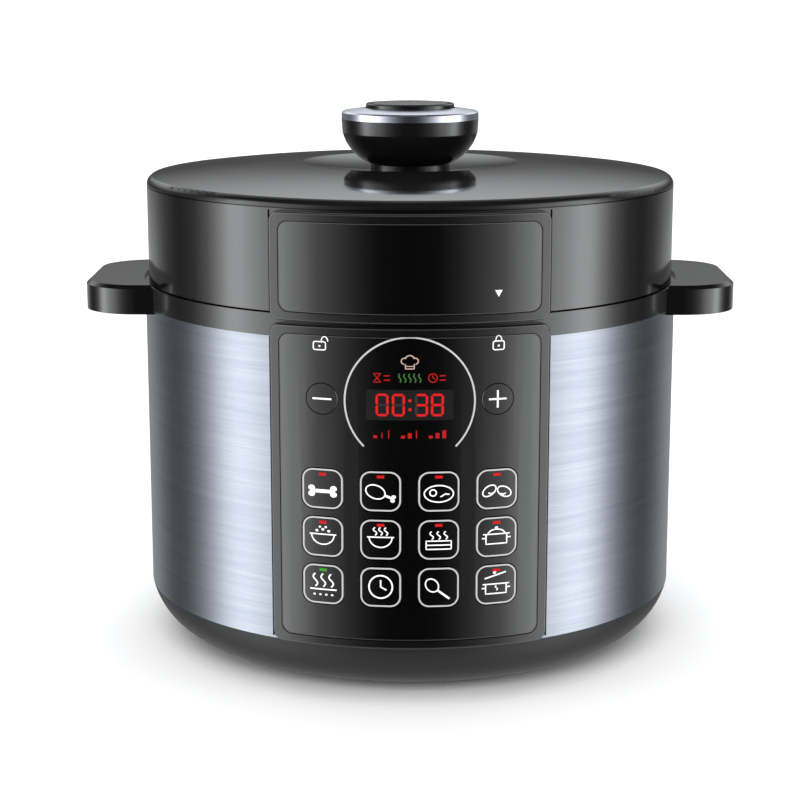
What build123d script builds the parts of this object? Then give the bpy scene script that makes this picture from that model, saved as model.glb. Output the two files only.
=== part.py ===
from build123d import *
import math
import os

os.makedirs("parts", exist_ok=True)

# Electric pressure cooker. +Z is up, the front with the control panel faces -Y,
# and the origin is on the body's axis at the surface that the foot ring stands on.
# Every length is in millimetres and every angle in degrees.

# ------------------------------------------------------------------ driving dimensions
# Cooking pot, and the lugged well that it hangs in
pot_r = 112.0
pot_h = 155.7
pot_t = 1.8
pot_floor_t = 3.0
pot_corner_r = 14.0
pot_rim_w = 8.0
pot_rim_t = 2.0
rest_gap = 0.3
well_gap = 6.0
well_t = 1.5
well_corner_r = 6.0
flange_w = 4.5
flange_t = 2.0
rim_over_flange = 1.0
lug_count = 6
lug_w = 7.0
lug_root = 1.0
lug_angle = 25.0
lid_lug_angle = 24.0
lid_lug_t = 3.0
lug_gap = 0.8
turn_gap = 2.5

# Heating plate and what carries it
well_floor_z = 40.0
plate_gap = 1.5
plate_t = 9.0
plate_r = 84.0
plate_hole_r = 14.0
well_hole_r = 72.0
spring_plate_r = 90.0
spring_plate_hole_r = 40.0
spring_plate_t = 1.2
plate_post_r = 4.0
plate_post_at = 62.0
terminal_r = 2.2
terminal_at = 54.0
terminal_len = 16.0
terminal_gap = 2.0
plate_edge = 1.0
sensor_r = 11.0
sensor_t = 7.0
sensor_stem_r = 4.0
sensor_stem_len = 12.0
sensor_spring_room = 12.0
bracket_t = 2.0
bracket_w = 14.0
bracket_foot = 8.0
bracket_leg_t = 4.0
bracket_pad = 1.0
sensor_spring_wire = 1.0
sensor_spring_turns = 4

# Body: base, steel band, upper ring with its two handles
wall = 2.8
lid_space = 12.2
shell_t = 0.6
stand_off = 2.0
base_h = 27.5
base_floor_t = 3.0
base_bottom_in = 27.0
base_bulge_in = 9.6
base_bulge_h = 9.6
lip_h = 6.5
lip_t = 2.8
fit_gap = 0.1
foot_r_in = 106.0
foot_w = 10.0
foot_sink = 1.5
foot_edge = 0.6
ring_h = 11.8
ring_drop = 0.7
trough_t = 3.0
trough_depth = 6.3
handle_reach = 31.0
handle_half_w = 53.0
handle_corner_r = 30.0
handle_t = 16.0
handle_over_ring = 1.7
handle_wall = 3.0
handle_edge_r = 2.0
handle_relief = 0.6

# Control panel and lid fascia: two curved panels that stand proud of the body
panel_w = 142.0
panel_proud = 5.0
panel_corner_r = 5.0
panel_border = 4.7
panel_groove = 0.3
panel_edge_r = 0.9
inlay_edge = 0.35
panel_floor_t = 1.6
panel_sink = 0.4
panel_over_base = 1.0
panel_gap = 1.8
panel_below_lid = 2.9
fascia_below_cover = 0.6
fascia_relief = 0.5
window_half_w = 60.0
window_margin = 8.0

# Keys, display and control board
key_w = 21.5
key_corner_r = 6.0
key_gap_x = 8.1
key_gap_z = 3.8
key_rows = 3
key_columns = 4
key_first_z = 33.2
key_gap = 0.3
key_t = 1.8
key_over_inlay = 0.1
key_edge = 0.2
key_travel = 0.6
plunger_r = 2.2
plunger_gap = 0.6
round_key_r = 8.0
round_key_x = 44.4
round_key_below_top = 37.1
display_w = 44.4
display_h = 15.8
display_below_top = 39.1
display_sink = 0.3
display_corner_r = 1.0
board_in = 16.0
board_t = 1.6
board_half_w = 56.0
board_margin = 12.0
board_screw_len = 4.0
switch_w = 6.0
switch_t = 2.0
switch_spare = 0.4
board_post_r = 3.2
board_post_x = 50.0
board_post_margin = 17.5
screw_r = 1.4
screw_head_r = 3.0
screw_head_t = 2.0

# Lid: skirt, top cover, pressure lid and sealing ring
lid_gap = 0.6
lid_wall_h = 52.7
lid_step = 2.0
cover_gap = 0.6
cover_t = 2.5
bevel_w = 3.0
bevel_h = 4.6
crown_h = 10.8
dish_r = 61.0
dish_depth = 2.8
bevel_bow_in = 0.35
bevel_bow_up = 0.62
crown_bow = 0.32
dish_bow = 0.28
cover_hole_r = 12.0
locating_rim_h = 6.0
deck_drop = 15.6
deck_t = 3.0
deck_hole_r = 20.0
stud_count = 4
stud_at = 92.0
stud_r = 2.0
stud_gap = 0.1
boss_r = 5.0
nut_w = 7.0
nut_t = 3.2
soft_gap = 0.3
seal_h = 12.4
seal_w = 20.4
seal_wall = 3.2
seal_lip_t = 2.7
seal_rib_t = 1.5
seal_rib_h = 7.5
seal_low_lip_w = 14.28
plid_t = 1.5
plid_rise = 3.0
plid_rise_r = 78.0
skirt_t = 1.5

# Steam pipe, limit valve, rocker, float valve and the shield under the lid
pipe_r = 3.0
pipe_bore_r = 1.2
pipe_flange_r = 8.0
pipe_flange_t = 2.0
pipe_nut_r = 6.0
pipe_tail = 8.0
valve_r = 7.0
valve_collar_r = 10.5
valve_collar_t = 2.0
valve_gap = 0.4
valve_over_floor = 3.0
rocker_pivot_x = 14.5
rocker_over_floor = 12.4
rocker_tail = 6.7
rocker_arm = 10.1
rocker_t = 2.0
rocker_w = 6.0
rocker_hub_r = 3.0
pin_r = 1.5
pin_gap = 0.05
pin_post_l = 5.0
pin_post_w = 4.0
pin_post_gap = 1.0
pin_post_over = 3.0
float_y = 55.0
float_r = 2.8
float_gap = 0.4
float_head_r = 6.0
float_head_t = 1.8
float_seal_t = 2.5
float_travel = 4.5
float_top_over_lid = 8.0
shield_r = 21.0
shield_h = 18.0
shield_t = 0.8
shield_slots = 12

# Knob with its trim ring and the vent button in its top
neck_r = 22.4
neck_h = 1.8
knob_r = 38.6
knob_bowl_h = 17.6
knob_band_h = 7.6
knob_wall = 3.4
knob_floor_t = 5.4
knob_hole_r = 9.0
knob_ledge_h = 15.8
knob_ledge_r = 25.2
knob_ledge_t = 5.0
knob_draft = 0.5
bowl_bow_out = 0.69
bowl_bow_up = 0.48
trim_h = 4.3
trim_rise = 1.8
trim_t = 2.6
trim_spigot_h = 2.6
trim_spigot_t = 2.6
trim_edge = 0.8
button_r = 24.8
button_gap = 0.7
button_over_trim = 2.4
button_t = 2.2
button_flange_w = 6.2
button_flange_t = 2.0
button_edge = 0.5
finger_reach = 8.2
finger_t = 1.4
finger_w = 4.0
button_spring_inset = 2.3
button_spring_wire = 1.0
button_spring_turns = 4
knob_screw_at = 17.2
knob_screw_count = 3

# Rear: condensation cup on its apron, and the mains inlet
cup_half_w = 24.0
cup_h = 36.0
cup_depth = 20.0
cup_t = 2.0
cup_gap = 0.3
cup_corner_r = 6.0
cup_lip_w = 33.6
cup_lip_d = 5.0
cup_lip_out = 4.0
cup_lip_corner_r = 1.4
cup_below_ring = 0.5
apron_t = 2.6
apron_lip_t = 2.7
apron_lip_h = 10.0
apron_below_cup = 3.0
drain_w = 12.0
drain_h = 3.5
spout_len = 7.0
spout_t = 2.4
spout_side = 2.0
inlet_w = 27.6
inlet_h = 20.0
inlet_depth = 22.0
inlet_wall = 1.8
inlet_flange = 1.7
inlet_flange_t = 1.5
inlet_corner_r = 3.0
inlet_floor_t = 3.0
inlet_block_wall = 3.2
inlet_block_floor_t = 2.7
inlet_z = 16.7
pin_pitch = 7.0
pin_w = 2.0
pin_h = 4.0
pin_drop = 2.0
pin_tail = 6.0
pin_recess = 3.0

# Fasteners and electrics in the base
tie_at = 96.0
tie_count = 3
tie_r = 2.0
tie_head_r = 4.0
tie_head_sink = 0.2
tie_boss_r = 6.0
tie_boss_h = 24.0
cover_plate_r = 66.0
cover_plate_t = 1.6
base_hole_r = 58.0
cover_screw_at = 62.0
cover_screw_count = 4
cover_boss_h = 6.0
cover_boss_r = 4.0
screw_end_gap = 1.0
vent_slots = 16
vent_slot_w = 3.0
vent_slot_len = 22.0
vent_slot_at = 34.0
power_board_w = 54.0
power_board_d = 50.0
power_board_x = -78.0
power_board_y = 52.0
power_post_h = 7.0
power_post_r = 3.0
power_post_inset = 5.0
# Parts on the power board: place from its middle, size over it
relay = (-16.0, -12.0, 19.0, 15.5, 15.0)
transformer = (14.0, -10.0, 24.0, 20.0, 18.0)
terminal_block = (12.0, 17.0, 22.0, 9.0, 9.0)
capacitor_r = 5.0
capacitor_h = 13.0
capacitor_y = 16.0
capacitor_xs = (-20.0, -6.0)
# Pressure switch below the spring plate, and the thermal fuse below the well
pressure_switch_x = 62.0
pressure_switch_y = -42.0
pressure_switch_w = 22.0
pressure_switch_d = 14.0
pressure_switch_h = 14.0
pressure_switch_corner_r = 2.0
pressure_switch_toe_h = 2.0
pressure_switch_toe_r = 2.5
pressure_switch_leg_x = 8.0
pressure_switch_leg_w = 4.0
pressure_switch_leg_d = 10.0
fuse_r = 2.4
fuse_len = 16.0
fuse_y = -104.0
fuse_drop = 3.0
fuse_pad_w = 12.0
fuse_pad_t = 1.0
fuse_pad_corner_r = 1.5
loom_r = 2.0
loom_bend = 9.0
loom_x_in_board = 10.0
loom_rise = 13.0
plug_x = -40.0
plug_over_base = 60.0
plug_w = 14.0
plug_h = 9.0
plug_depth = 6.0

# ------------------------------------------------------------------ sizes that follow
well_r_in = pot_r + well_gap
well_r = well_r_in + well_t
flange_r = well_r + flange_w
lug_r = flange_r + lug_w
skirt_r_in = lug_r + turn_gap
skirt_r = skirt_r_in + skirt_t
body_r = skirt_r + lid_space + wall
lid_r = body_r - lid_step
lid_r_in = lid_r - wall
panel_r = body_r + panel_proud
board_y = body_r - board_in

base_z = stand_off
base_floor = base_z + base_floor_t
base_top = base_z + base_h
plate_z = well_floor_z + well_t + plate_gap
plate_top = plate_z + plate_t
pot_z = plate_top + rest_gap
pot_top = pot_z + pot_h
flange_top = pot_top - pot_rim_t - rim_over_flange
flange_z = flange_top - flange_t
ring_top = flange_z - ring_drop
ring_z = ring_top - ring_h
trough_top = ring_top - trough_depth
trough_z = trough_top - trough_t

lid_z = ring_top + lid_gap
lid_wall_top = lid_z + lid_wall_h
cover_z = lid_wall_top + cover_gap
bevel_z = cover_z + bevel_h
crown_z = cover_z + crown_h
dish_z = crown_z - dish_depth
deck_z = lid_wall_top - deck_drop
deck_top = deck_z + deck_t
seal_z = pot_top + soft_gap
seal_top = seal_z + seal_h
plid_z = seal_top + soft_gap
plid_top = plid_z + plid_t
plid_mid_z = plid_z + plid_rise
plid_mid_top = plid_mid_z + plid_t
lid_lug_top = flange_z - lug_gap
lid_lug_z = lid_lug_top - lid_lug_t
lid_lug_r = flange_r + pot_t
seal_r = flange_r - soft_gap
seal_r_in = seal_r - seal_w

neck_top = dish_z + neck_h
bowl_top = neck_top + knob_bowl_h
knob_top = bowl_top + knob_band_h
knob_floor = dish_z + knob_floor_t
ledge_z = dish_z + knob_ledge_h
knob_r_in = knob_r - knob_wall
trim_top = knob_top + trim_h
trim_in_r = button_r + button_gap
trim_in_top = trim_top + trim_rise
button_top = trim_in_top + button_over_trim
flange_out_r = button_r + button_flange_w
spigot_in_r = knob_r_in - fit_gap - trim_spigot_t
trim_roof = trim_in_top - trim_t - trim_rise
button_flange_top = trim_roof - soft_gap
button_flange_z = button_flange_top - button_flange_t
rocker_z = knob_floor + rocker_over_floor
valve_z = knob_floor + valve_over_floor
valve_collar_z = rocker_z + rocker_t / 2 + valve_gap + fit_gap
valve_top = valve_collar_z + 2 * valve_collar_t + fit_gap
pipe_top = valve_z + 2 * valve_gap + valve_collar_t - valve_gap

panel_z = base_top + panel_over_base
fascia_z = lid_z - panel_below_lid
panel_top = fascia_z - panel_gap
fascia_top = lid_wall_top - fascia_below_cover
inlay_w = panel_w - 2 * panel_border
inlay_corner_r = panel_corner_r
inlay_r = panel_r - panel_sink
inlay_floor_r = body_r + panel_floor_t
key_face_r = inlay_r + key_over_inlay
key_back_r = key_face_r - key_t
display_z = panel_top - display_below_top
key_pitch_x = key_w + key_gap_x
key_pitch_z = key_w + key_gap_z
round_key_z = panel_top - round_key_below_top
switch_face_y = board_y + switch_t
plunger_y = switch_face_y + key_travel + switch_spare

cup_top = ring_z - cup_below_ring
cup_z = cup_top - cup_h
cup_back_r = body_r + apron_t + cup_gap
cup_front_y = cup_back_r + cup_depth

key_places = [
    ((column - (key_columns - 1) / 2) * key_pitch_x, panel_z + key_first_z + row * key_pitch_z)
    for row in reversed(range(key_rows))
    for column in range(key_columns)
]


def ring_of_places(radius, count, start=0.0):
    """Points evenly spaced round the axis."""
    turns = [math.radians(start + 360 / count * i) for i in range(count)]
    return [(radius * math.cos(t), radius * math.sin(t)) for t in turns]


tie_places = ring_of_places(tie_at, tie_count, 90)
cover_screw_places = ring_of_places(cover_screw_at, cover_screw_count, 45)
terminal_places = ring_of_places(terminal_at, 2, 30)
stud_places = ring_of_places(stud_at, stud_count, 45)
knob_screw_places = ring_of_places(knob_screw_at, knob_screw_count, 60)


def put_out(part, name):
    """Name a finished piece and write it to its own file."""
    part.label = name
    export_step(part, f"parts/{name}.step")


def circles_of(part, radius):
    """A part's circular edges of one radius."""
    circles = part.edges().filter_by(GeomType.CIRCLE)
    return circles.filter_by(lambda e: abs(e.radius - radius) < 1e-6)


# ------------------------------------------------------------------ foot ring
with BuildPart() as foot_ring:
    with BuildSketch():
        Circle(foot_r_in + foot_w)
        Circle(foot_r_in, mode=Mode.SUBTRACT)
    extrude(amount=stand_off + foot_sink)
    chamfer(foot_ring.faces().sort_by(Axis.Z)[0].edges(), length=foot_edge)
put_out(foot_ring.part, "foot_ring")

# ------------------------------------------------------------------ base housing
# A moulded bowl. Its wall curves in to the floor, its lip stands inside the steel band,
# and a square block at the back holds the mains inlet.
base_r = body_r - base_bottom_in
inlet_z_low = inlet_z - inlet_h / 2
block_w = inlet_w + 2 * inlet_block_wall
block_z = inlet_z_low - inlet_block_floor_t
block_h = base_top - block_z
with BuildPart() as base_housing:
    with BuildSketch(Plane.XZ):
        with BuildLine():
            Line((base_hole_r, base_z), (base_r, base_z))
            ThreePointArc(
                (base_r, base_z),
                (body_r - base_bulge_in, base_z + base_bulge_h),
                (body_r, base_top),
            )
            Line((body_r, base_top), (body_r - shell_t - fit_gap, base_top))
            Line((body_r - shell_t - fit_gap, base_top), (body_r - shell_t - fit_gap, base_top + lip_h))
            Line(
                (body_r - shell_t - fit_gap, base_top + lip_h),
                (body_r - shell_t - fit_gap - lip_t, base_top + lip_h),
            )
            Line(
                (body_r - shell_t - fit_gap - lip_t, base_top + lip_h),
                (body_r - shell_t - fit_gap - lip_t, base_top),
            )
            ThreePointArc(
                (body_r - shell_t - fit_gap - lip_t, base_top),
                (body_r - base_bulge_in - wall, base_z + base_bulge_h + wall / 2),
                (base_r - wall, base_floor),
            )
            Line((base_r - wall, base_floor), (base_hole_r, base_floor))
            Line((base_hole_r, base_floor), (base_hole_r, base_z))
        make_face()
    revolve(axis=Axis.Z)
    # Inlet block, trimmed to the body's outline at the back
    with BuildSketch(Plane.XY.offset(block_z)):
        with Locations((0, body_r - inlet_depth / 2 - inlet_flange_t)):
            Rectangle(block_w, inlet_depth + 2 * inlet_flange_t)
    extrude(amount=block_h)
    with BuildSketch(Plane.XZ.offset(-body_r)):
        with Locations((0, inlet_z)):
            Rectangle(inlet_w + 2 * fit_gap, inlet_h + 2 * fit_gap)
    extrude(amount=2 * inlet_depth, mode=Mode.SUBTRACT)
    with BuildSketch(Plane.XZ.offset(-body_r)):
        with Locations((0, inlet_z)):
            Rectangle(inlet_w + 2 * inlet_flange + 2 * fit_gap, inlet_h + 2 * inlet_flange + 2 * fit_gap)
    extrude(amount=inlet_flange_t, mode=Mode.SUBTRACT)
    # Groove for the foot ring, rebate for the cover plate
    with BuildSketch(Plane.XY.offset(base_z)):
        Circle(foot_r_in + foot_w)
        Circle(foot_r_in, mode=Mode.SUBTRACT)
    extrude(amount=foot_sink, mode=Mode.SUBTRACT)
    with BuildSketch(Plane.XY.offset(base_z)):
        Circle(cover_plate_r + fit_gap)
    extrude(amount=cover_plate_t, mode=Mode.SUBTRACT)
    # Bosses for the tie screws, the cover screws and the power board
    with BuildSketch(Plane.XY.offset(base_floor)):
        with Locations(*tie_places):
            Circle(tie_boss_r)
    extrude(amount=tie_boss_h)
    with BuildSketch(Plane.XY.offset(base_z + cover_plate_t)):
        with Locations(*cover_screw_places):
            Circle(cover_boss_r)
    extrude(amount=cover_boss_h)
    with BuildSketch(Plane.XY.offset(base_floor)):
        with Locations((power_board_x, power_board_y)):
            with GridLocations(
                power_board_w - 2 * power_post_inset, power_board_d - 2 * power_post_inset, 2, 2
            ):
                Circle(power_post_r)
    extrude(amount=power_post_h)
    with BuildSketch(Plane.XY.offset(base_z)):
        with Locations(*tie_places):
            Circle(tie_r + fit_gap)
    extrude(amount=base_floor_t + tie_boss_h, mode=Mode.SUBTRACT)
    with BuildSketch(Plane.XY.offset(base_z)):
        with Locations(*tie_places):
            Circle(tie_head_r + fit_gap)
    extrude(amount=base_floor_t, mode=Mode.SUBTRACT)
    with BuildSketch(Plane.XY.offset(base_z + cover_plate_t)):
        with Locations(*cover_screw_places):
            Circle(screw_r)
    extrude(amount=cover_boss_h - screw_end_gap, mode=Mode.SUBTRACT)
put_out(base_housing.part, "base_housing")

# ------------------------------------------------------------------ bottom cover and its screws
with BuildPart() as bottom_cover:
    with BuildSketch(Plane.XY.offset(base_z)):
        Circle(cover_plate_r)
        with Locations(*cover_screw_places):
            Circle(screw_r + fit_gap, mode=Mode.SUBTRACT)
        with PolarLocations(vent_slot_at, vent_slots):
            SlotOverall(vent_slot_len, vent_slot_w, mode=Mode.SUBTRACT)
    extrude(amount=cover_plate_t)
put_out(bottom_cover.part, "bottom_cover")

with BuildPart() as bottom_screws:
    with BuildSketch(Plane.XY.offset(base_z - screw_head_t / 2)):
        with Locations(*cover_screw_places):
            Circle(screw_head_r)
    extrude(amount=screw_head_t / 2)
    with BuildSketch(Plane.XY.offset(base_z)):
        with Locations(*cover_screw_places):
            Circle(screw_r)
    extrude(amount=cover_plate_t + cover_boss_h - 2 * screw_end_gap)
put_out(bottom_screws.part, "bottom_screws")

# ------------------------------------------------------------------ steel band
with BuildPart() as outer_shell:
    with BuildSketch(Plane.XY.offset(base_top)):
        Circle(body_r)
        Circle(body_r - shell_t, mode=Mode.SUBTRACT)
    extrude(amount=ring_z - base_top)
    with BuildSketch(Plane.XZ):
        with Locations((0, (panel_z + panel_top) / 2)):
            Rectangle(2 * window_half_w, panel_top - panel_z - 2 * window_margin)
    extrude(amount=2 * body_r, mode=Mode.SUBTRACT)
put_out(outer_shell.part, "outer_shell")

# ------------------------------------------------------------------ upper ring with handles
# One moulding: the black ring over the band, the trough round the pot's rim, both handles,
# and at the back the apron and spout for the condensation cup.
sleeve_r_in = well_r + 4 * fit_gap
lip_out_r = body_r - shell_t - fit_gap
handle_z = ring_top + handle_over_ring - handle_t
with BuildPart() as upper_ring:
    for side in (-1, 1):
        with BuildSketch(Plane.XY.offset(handle_z)) as handle_plan:
            with Locations((side * body_r / 2, 0)):
                Rectangle(body_r + 2 * handle_reach, 2 * handle_half_w)
            outer_corners = handle_plan.vertices().filter_by(
                lambda v: side * v.X > body_r
            )
            fillet(outer_corners, radius=handle_corner_r)
        extrude(amount=handle_t)
    top_edges = upper_ring.faces().sort_by(Axis.Z)[-1].edges()
    chamfer(top_edges, length=handle_edge_r)
    # Everything inside the body's outline goes, and comes back as the ring
    with BuildSketch(Plane.XY.offset(handle_z)):
        Circle(body_r)
    extrude(amount=handle_t, mode=Mode.SUBTRACT)
    with BuildSketch(Plane.XY.offset(ring_top)):
        Circle(body_r + handle_relief)
    extrude(amount=2 * handle_over_ring, mode=Mode.SUBTRACT)
    for side in (-1, 1):
        with BuildSketch(Plane.XY.offset(handle_z)) as hollow_plan:
            with Locations((side * body_r / 2, 0)):
                Rectangle(
                    body_r + 2 * (handle_reach - handle_wall),
                    2 * (handle_half_w - handle_wall),
                )
            hollow_corners = hollow_plan.vertices().filter_by(
                lambda v: side * v.X > body_r
            )
            fillet(hollow_corners, radius=handle_corner_r - handle_wall)
            Circle(body_r + handle_wall, mode=Mode.SUBTRACT)
        extrude(amount=handle_t - handle_wall, mode=Mode.SUBTRACT)
    with BuildSketch(Plane.XZ):
        with BuildLine():
            Polyline(
                (body_r, ring_z),
                (body_r, ring_top),
                (body_r - wall - shell_t, ring_top),
                (body_r - wall - shell_t, trough_top),
                (flange_r - fit_gap, trough_top),
                (flange_r - fit_gap, flange_z),
                (sleeve_r_in, flange_z),
                (sleeve_r_in, trough_z),
                (lip_out_r - lip_t, trough_z),
                (lip_out_r - lip_t, ring_z - lip_h),
                (lip_out_r, ring_z - lip_h),
                (lip_out_r, ring_z),
                close=True,
            )
        make_face()
    revolve(axis=Axis.Z)
    # Apron behind the cup, with a lip along each side
    apron_z = cup_z - apron_below_cup
    with BuildSketch(Plane.XY.offset(apron_z)):
        with Locations((0, body_r)):
            Rectangle(2 * (cup_half_w + cup_gap + apron_lip_t), 2 * apron_lip_h)
        Circle(body_r, mode=Mode.SUBTRACT)
    extrude(amount=ring_z - apron_z + drain_h)
    with BuildSketch(Plane.XY.offset(apron_z)):
        with Locations((0, body_r + apron_lip_h)):
            Rectangle(2 * (cup_half_w + cup_gap), 2 * apron_lip_h)
        Circle(body_r + apron_t, mode=Mode.SUBTRACT)
    extrude(amount=ring_z - apron_z + drain_h, mode=Mode.SUBTRACT)
    # Spout over the cup, and the drain through the ring into it
    with BuildSketch(Plane.XY.offset(trough_top - spout_t)):
        with Locations((0, body_r + spout_len / 2)):
            Rectangle(drain_w + 2 * spout_side, spout_len + 2 * spout_side)
        Circle(body_r - wall, mode=Mode.SUBTRACT)
    extrude(amount=spout_t)
    with BuildSketch(Plane.XZ.offset(-body_r - spout_len)):
        with Locations((0, trough_top + drain_h / 2)):
            Rectangle(drain_w, drain_h)
    extrude(amount=2 * spout_len, mode=Mode.SUBTRACT)
put_out(upper_ring.part, "upper_ring")

# ------------------------------------------------------------------ outer pot
with BuildPart() as outer_pot:
    with BuildSketch(Plane.XZ):
        with BuildLine():
            Polyline(
                (well_hole_r, well_floor_z),
                (well_r, well_floor_z),
                (well_r, flange_z),
                (flange_r, flange_z),
                (flange_r, flange_top),
                (well_r_in, flange_top),
                (well_r_in, well_floor_z + well_t),
                (well_hole_r, well_floor_z + well_t),
                close=True,
            )
        make_face()
    revolve(axis=Axis.Z)
    outer_circles = circles_of(outer_pot.part, well_r)
    fillet(outer_circles.sort_by(Axis.Z)[0], radius=well_corner_r)
    inner_circles = circles_of(outer_pot.part, well_r_in)
    fillet(inner_circles.sort_by(Axis.Z)[0], radius=well_corner_r - well_t)
    with BuildSketch(Plane.XY.offset(flange_z)):
        with PolarLocations(0, lug_count):
            with BuildLine():
                CenterArc((0, 0), lug_r, -lug_angle / 2, lug_angle)
                CenterArc((0, 0), well_r + lug_root, -lug_angle / 2, lug_angle)
                for turn in (-lug_angle / 2, lug_angle / 2):
                    Line(
                        Vector(well_r + lug_root, 0).rotate(Axis.Z, turn),
                        Vector(lug_r, 0).rotate(Axis.Z, turn),
                    )
            make_face()
    extrude(amount=flange_t)
    with BuildSketch(Plane.XY.offset(well_floor_z)):
        with Locations(*tie_places):
            Circle(tie_r + fit_gap)
    extrude(amount=well_t, mode=Mode.SUBTRACT)
put_out(outer_pot.part, "outer_pot")

# ------------------------------------------------------------------ cooking pot
with BuildPart() as inner_pot:
    with BuildSketch(Plane.XZ):
        with BuildLine():
            Polyline(
                (0, pot_z),
                (pot_r, pot_z),
                (pot_r, pot_top - pot_rim_t),
                (pot_r + pot_rim_w, pot_top - pot_rim_t),
                (pot_r + pot_rim_w, pot_top),
                (pot_r - pot_t, pot_top),
                (pot_r - pot_t, pot_z + pot_floor_t),
                (0, pot_z + pot_floor_t),
                close=True,
            )
        make_face()
    revolve(axis=Axis.Z)
    fillet(circles_of(inner_pot.part, pot_r).sort_by(Axis.Z)[0], radius=pot_corner_r)
    fillet(circles_of(inner_pot.part, pot_r - pot_t).sort_by(Axis.Z)[0], radius=pot_corner_r - pot_t)
    fillet(circles_of(inner_pot.part, pot_r + pot_rim_w), radius=0.4 * pot_rim_t)
put_out(inner_pot.part, "inner_pot")

# ------------------------------------------------------------------ heating plate on its sprung carrier
# The plate's posts pass through the well's floor and stand on a spring steel plate. When the
# pot is forced down by pressure, that plate bends and opens the pressure switch below it.
with BuildPart() as heating_plate:
    with BuildSketch(Plane.XY.offset(plate_z)):
        Circle(plate_r)
        Circle(plate_hole_r, mode=Mode.SUBTRACT)
    extrude(amount=plate_t)
    chamfer(circles_of(heating_plate.part, plate_r).sort_by(Axis.Z)[-1], length=plate_edge)
    with BuildSketch(Plane.XY.offset(well_floor_z)):
        with Locations(*ring_of_places(plate_post_at, 3, 90)):
            Circle(plate_post_r)
    extrude(amount=plate_z - well_floor_z)
    with BuildSketch(Plane.XY.offset(plate_z - terminal_len)):
        with Locations(*terminal_places):
            Circle(terminal_r)
    extrude(amount=terminal_len)
put_out(heating_plate.part, "heating_plate")

with BuildPart() as spring_plate:
    with BuildSketch(Plane.XY.offset(well_floor_z - spring_plate_t)):
        Circle(spring_plate_r)
        Circle(spring_plate_hole_r, mode=Mode.SUBTRACT)
        with Locations(*terminal_places):
            Circle(terminal_r + terminal_gap, mode=Mode.SUBTRACT)
    extrude(amount=spring_plate_t)
put_out(spring_plate.part, "spring_plate")

# ------------------------------------------------------------------ temperature sensor
# A sprung capsule in the middle of the plate. The pot's floor holds it level with the plate.
sensor_z = plate_top - sensor_t
bracket_z = sensor_z - sensor_spring_room - bracket_t
with BuildPart() as temperature_sensor:
    with BuildSketch(Plane.XY.offset(sensor_z)):
        Circle(sensor_r)
    extrude(amount=sensor_t)
    with BuildSketch(Plane.XY.offset(sensor_z - sensor_stem_len)):
        Circle(sensor_stem_r)
    extrude(amount=sensor_stem_len)
put_out(temperature_sensor.part, "temperature_sensor")

with BuildPart() as sensor_bracket:
    with BuildSketch(Plane.XY.offset(bracket_z)):
        Rectangle(2 * (spring_plate_hole_r + bracket_foot), bracket_w)
        Circle(sensor_r + bracket_pad)
        Circle(sensor_stem_r + 2 * fit_gap, mode=Mode.SUBTRACT)
    extrude(amount=bracket_t)
    bracket_leg_x = spring_plate_hole_r + bracket_foot - bracket_leg_t / 2
    with BuildSketch(Plane.XY.offset(bracket_z)):
        with Locations((-bracket_leg_x, 0), (bracket_leg_x, 0)):
            Rectangle(bracket_leg_t, bracket_w)
    extrude(amount=well_floor_z - spring_plate_t - bracket_z)
put_out(sensor_bracket.part, "sensor_bracket")



def coil_spring(radius, low, height, wire, turns):
    """A coil of round wire that stands on a level and fills a height."""
    with BuildPart() as coil:
        with BuildLine():
            Helix(
                pitch=(height - wire) / turns,
                height=height - wire,
                radius=radius,
                center=(0, 0, low + wire / 2),
            )
        with BuildSketch(Plane(origin=(radius, 0, low + wire / 2), z_dir=(0, 1, 0))):
            Circle(wire / 2)
        sweep(is_frenet=True)
    return coil.part


spring_low = bracket_z + bracket_t
sensor_spring = coil_spring(
    sensor_stem_r + 2 * sensor_spring_wire,
    spring_low,
    sensor_z - rest_gap - spring_low,
    sensor_spring_wire,
    sensor_spring_turns,
)
put_out(sensor_spring, "sensor_spring")

# ------------------------------------------------------------------ switches and boards in the base
with BuildPart() as pressure_switch:
    switch_top = well_floor_z - spring_plate_t - pressure_switch_toe_h
    with BuildSketch(Plane.XY.offset(switch_top - pressure_switch_h)):
        with Locations((pressure_switch_x, pressure_switch_y)):
            RectangleRounded(pressure_switch_w, pressure_switch_d, pressure_switch_corner_r)
    extrude(amount=pressure_switch_h)
    with BuildSketch(Plane.XY.offset(switch_top)):
        with Locations((pressure_switch_x, pressure_switch_y)):
            Circle(pressure_switch_toe_r)
            with Locations((-pressure_switch_leg_x, 0), (pressure_switch_leg_x, 0)):
                Rectangle(pressure_switch_leg_w, pressure_switch_leg_d)
    extrude(amount=pressure_switch_toe_h)
put_out(pressure_switch.part, "pressure_switch")

with BuildPart() as thermal_fuse:
    with BuildSketch(Plane.YZ.offset(-fuse_len / 2)):
        with Locations((fuse_y, well_floor_z - fuse_drop)):
            Circle(fuse_r)
    extrude(amount=fuse_len)
    with BuildSketch(Plane.XY.offset(well_floor_z - fuse_pad_t)):
        with Locations((0, fuse_y)):
            RectangleRounded(fuse_pad_w, fuse_pad_w, fuse_pad_corner_r)
    extrude(amount=fuse_pad_t)
put_out(thermal_fuse.part, "thermal_fuse")

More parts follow.
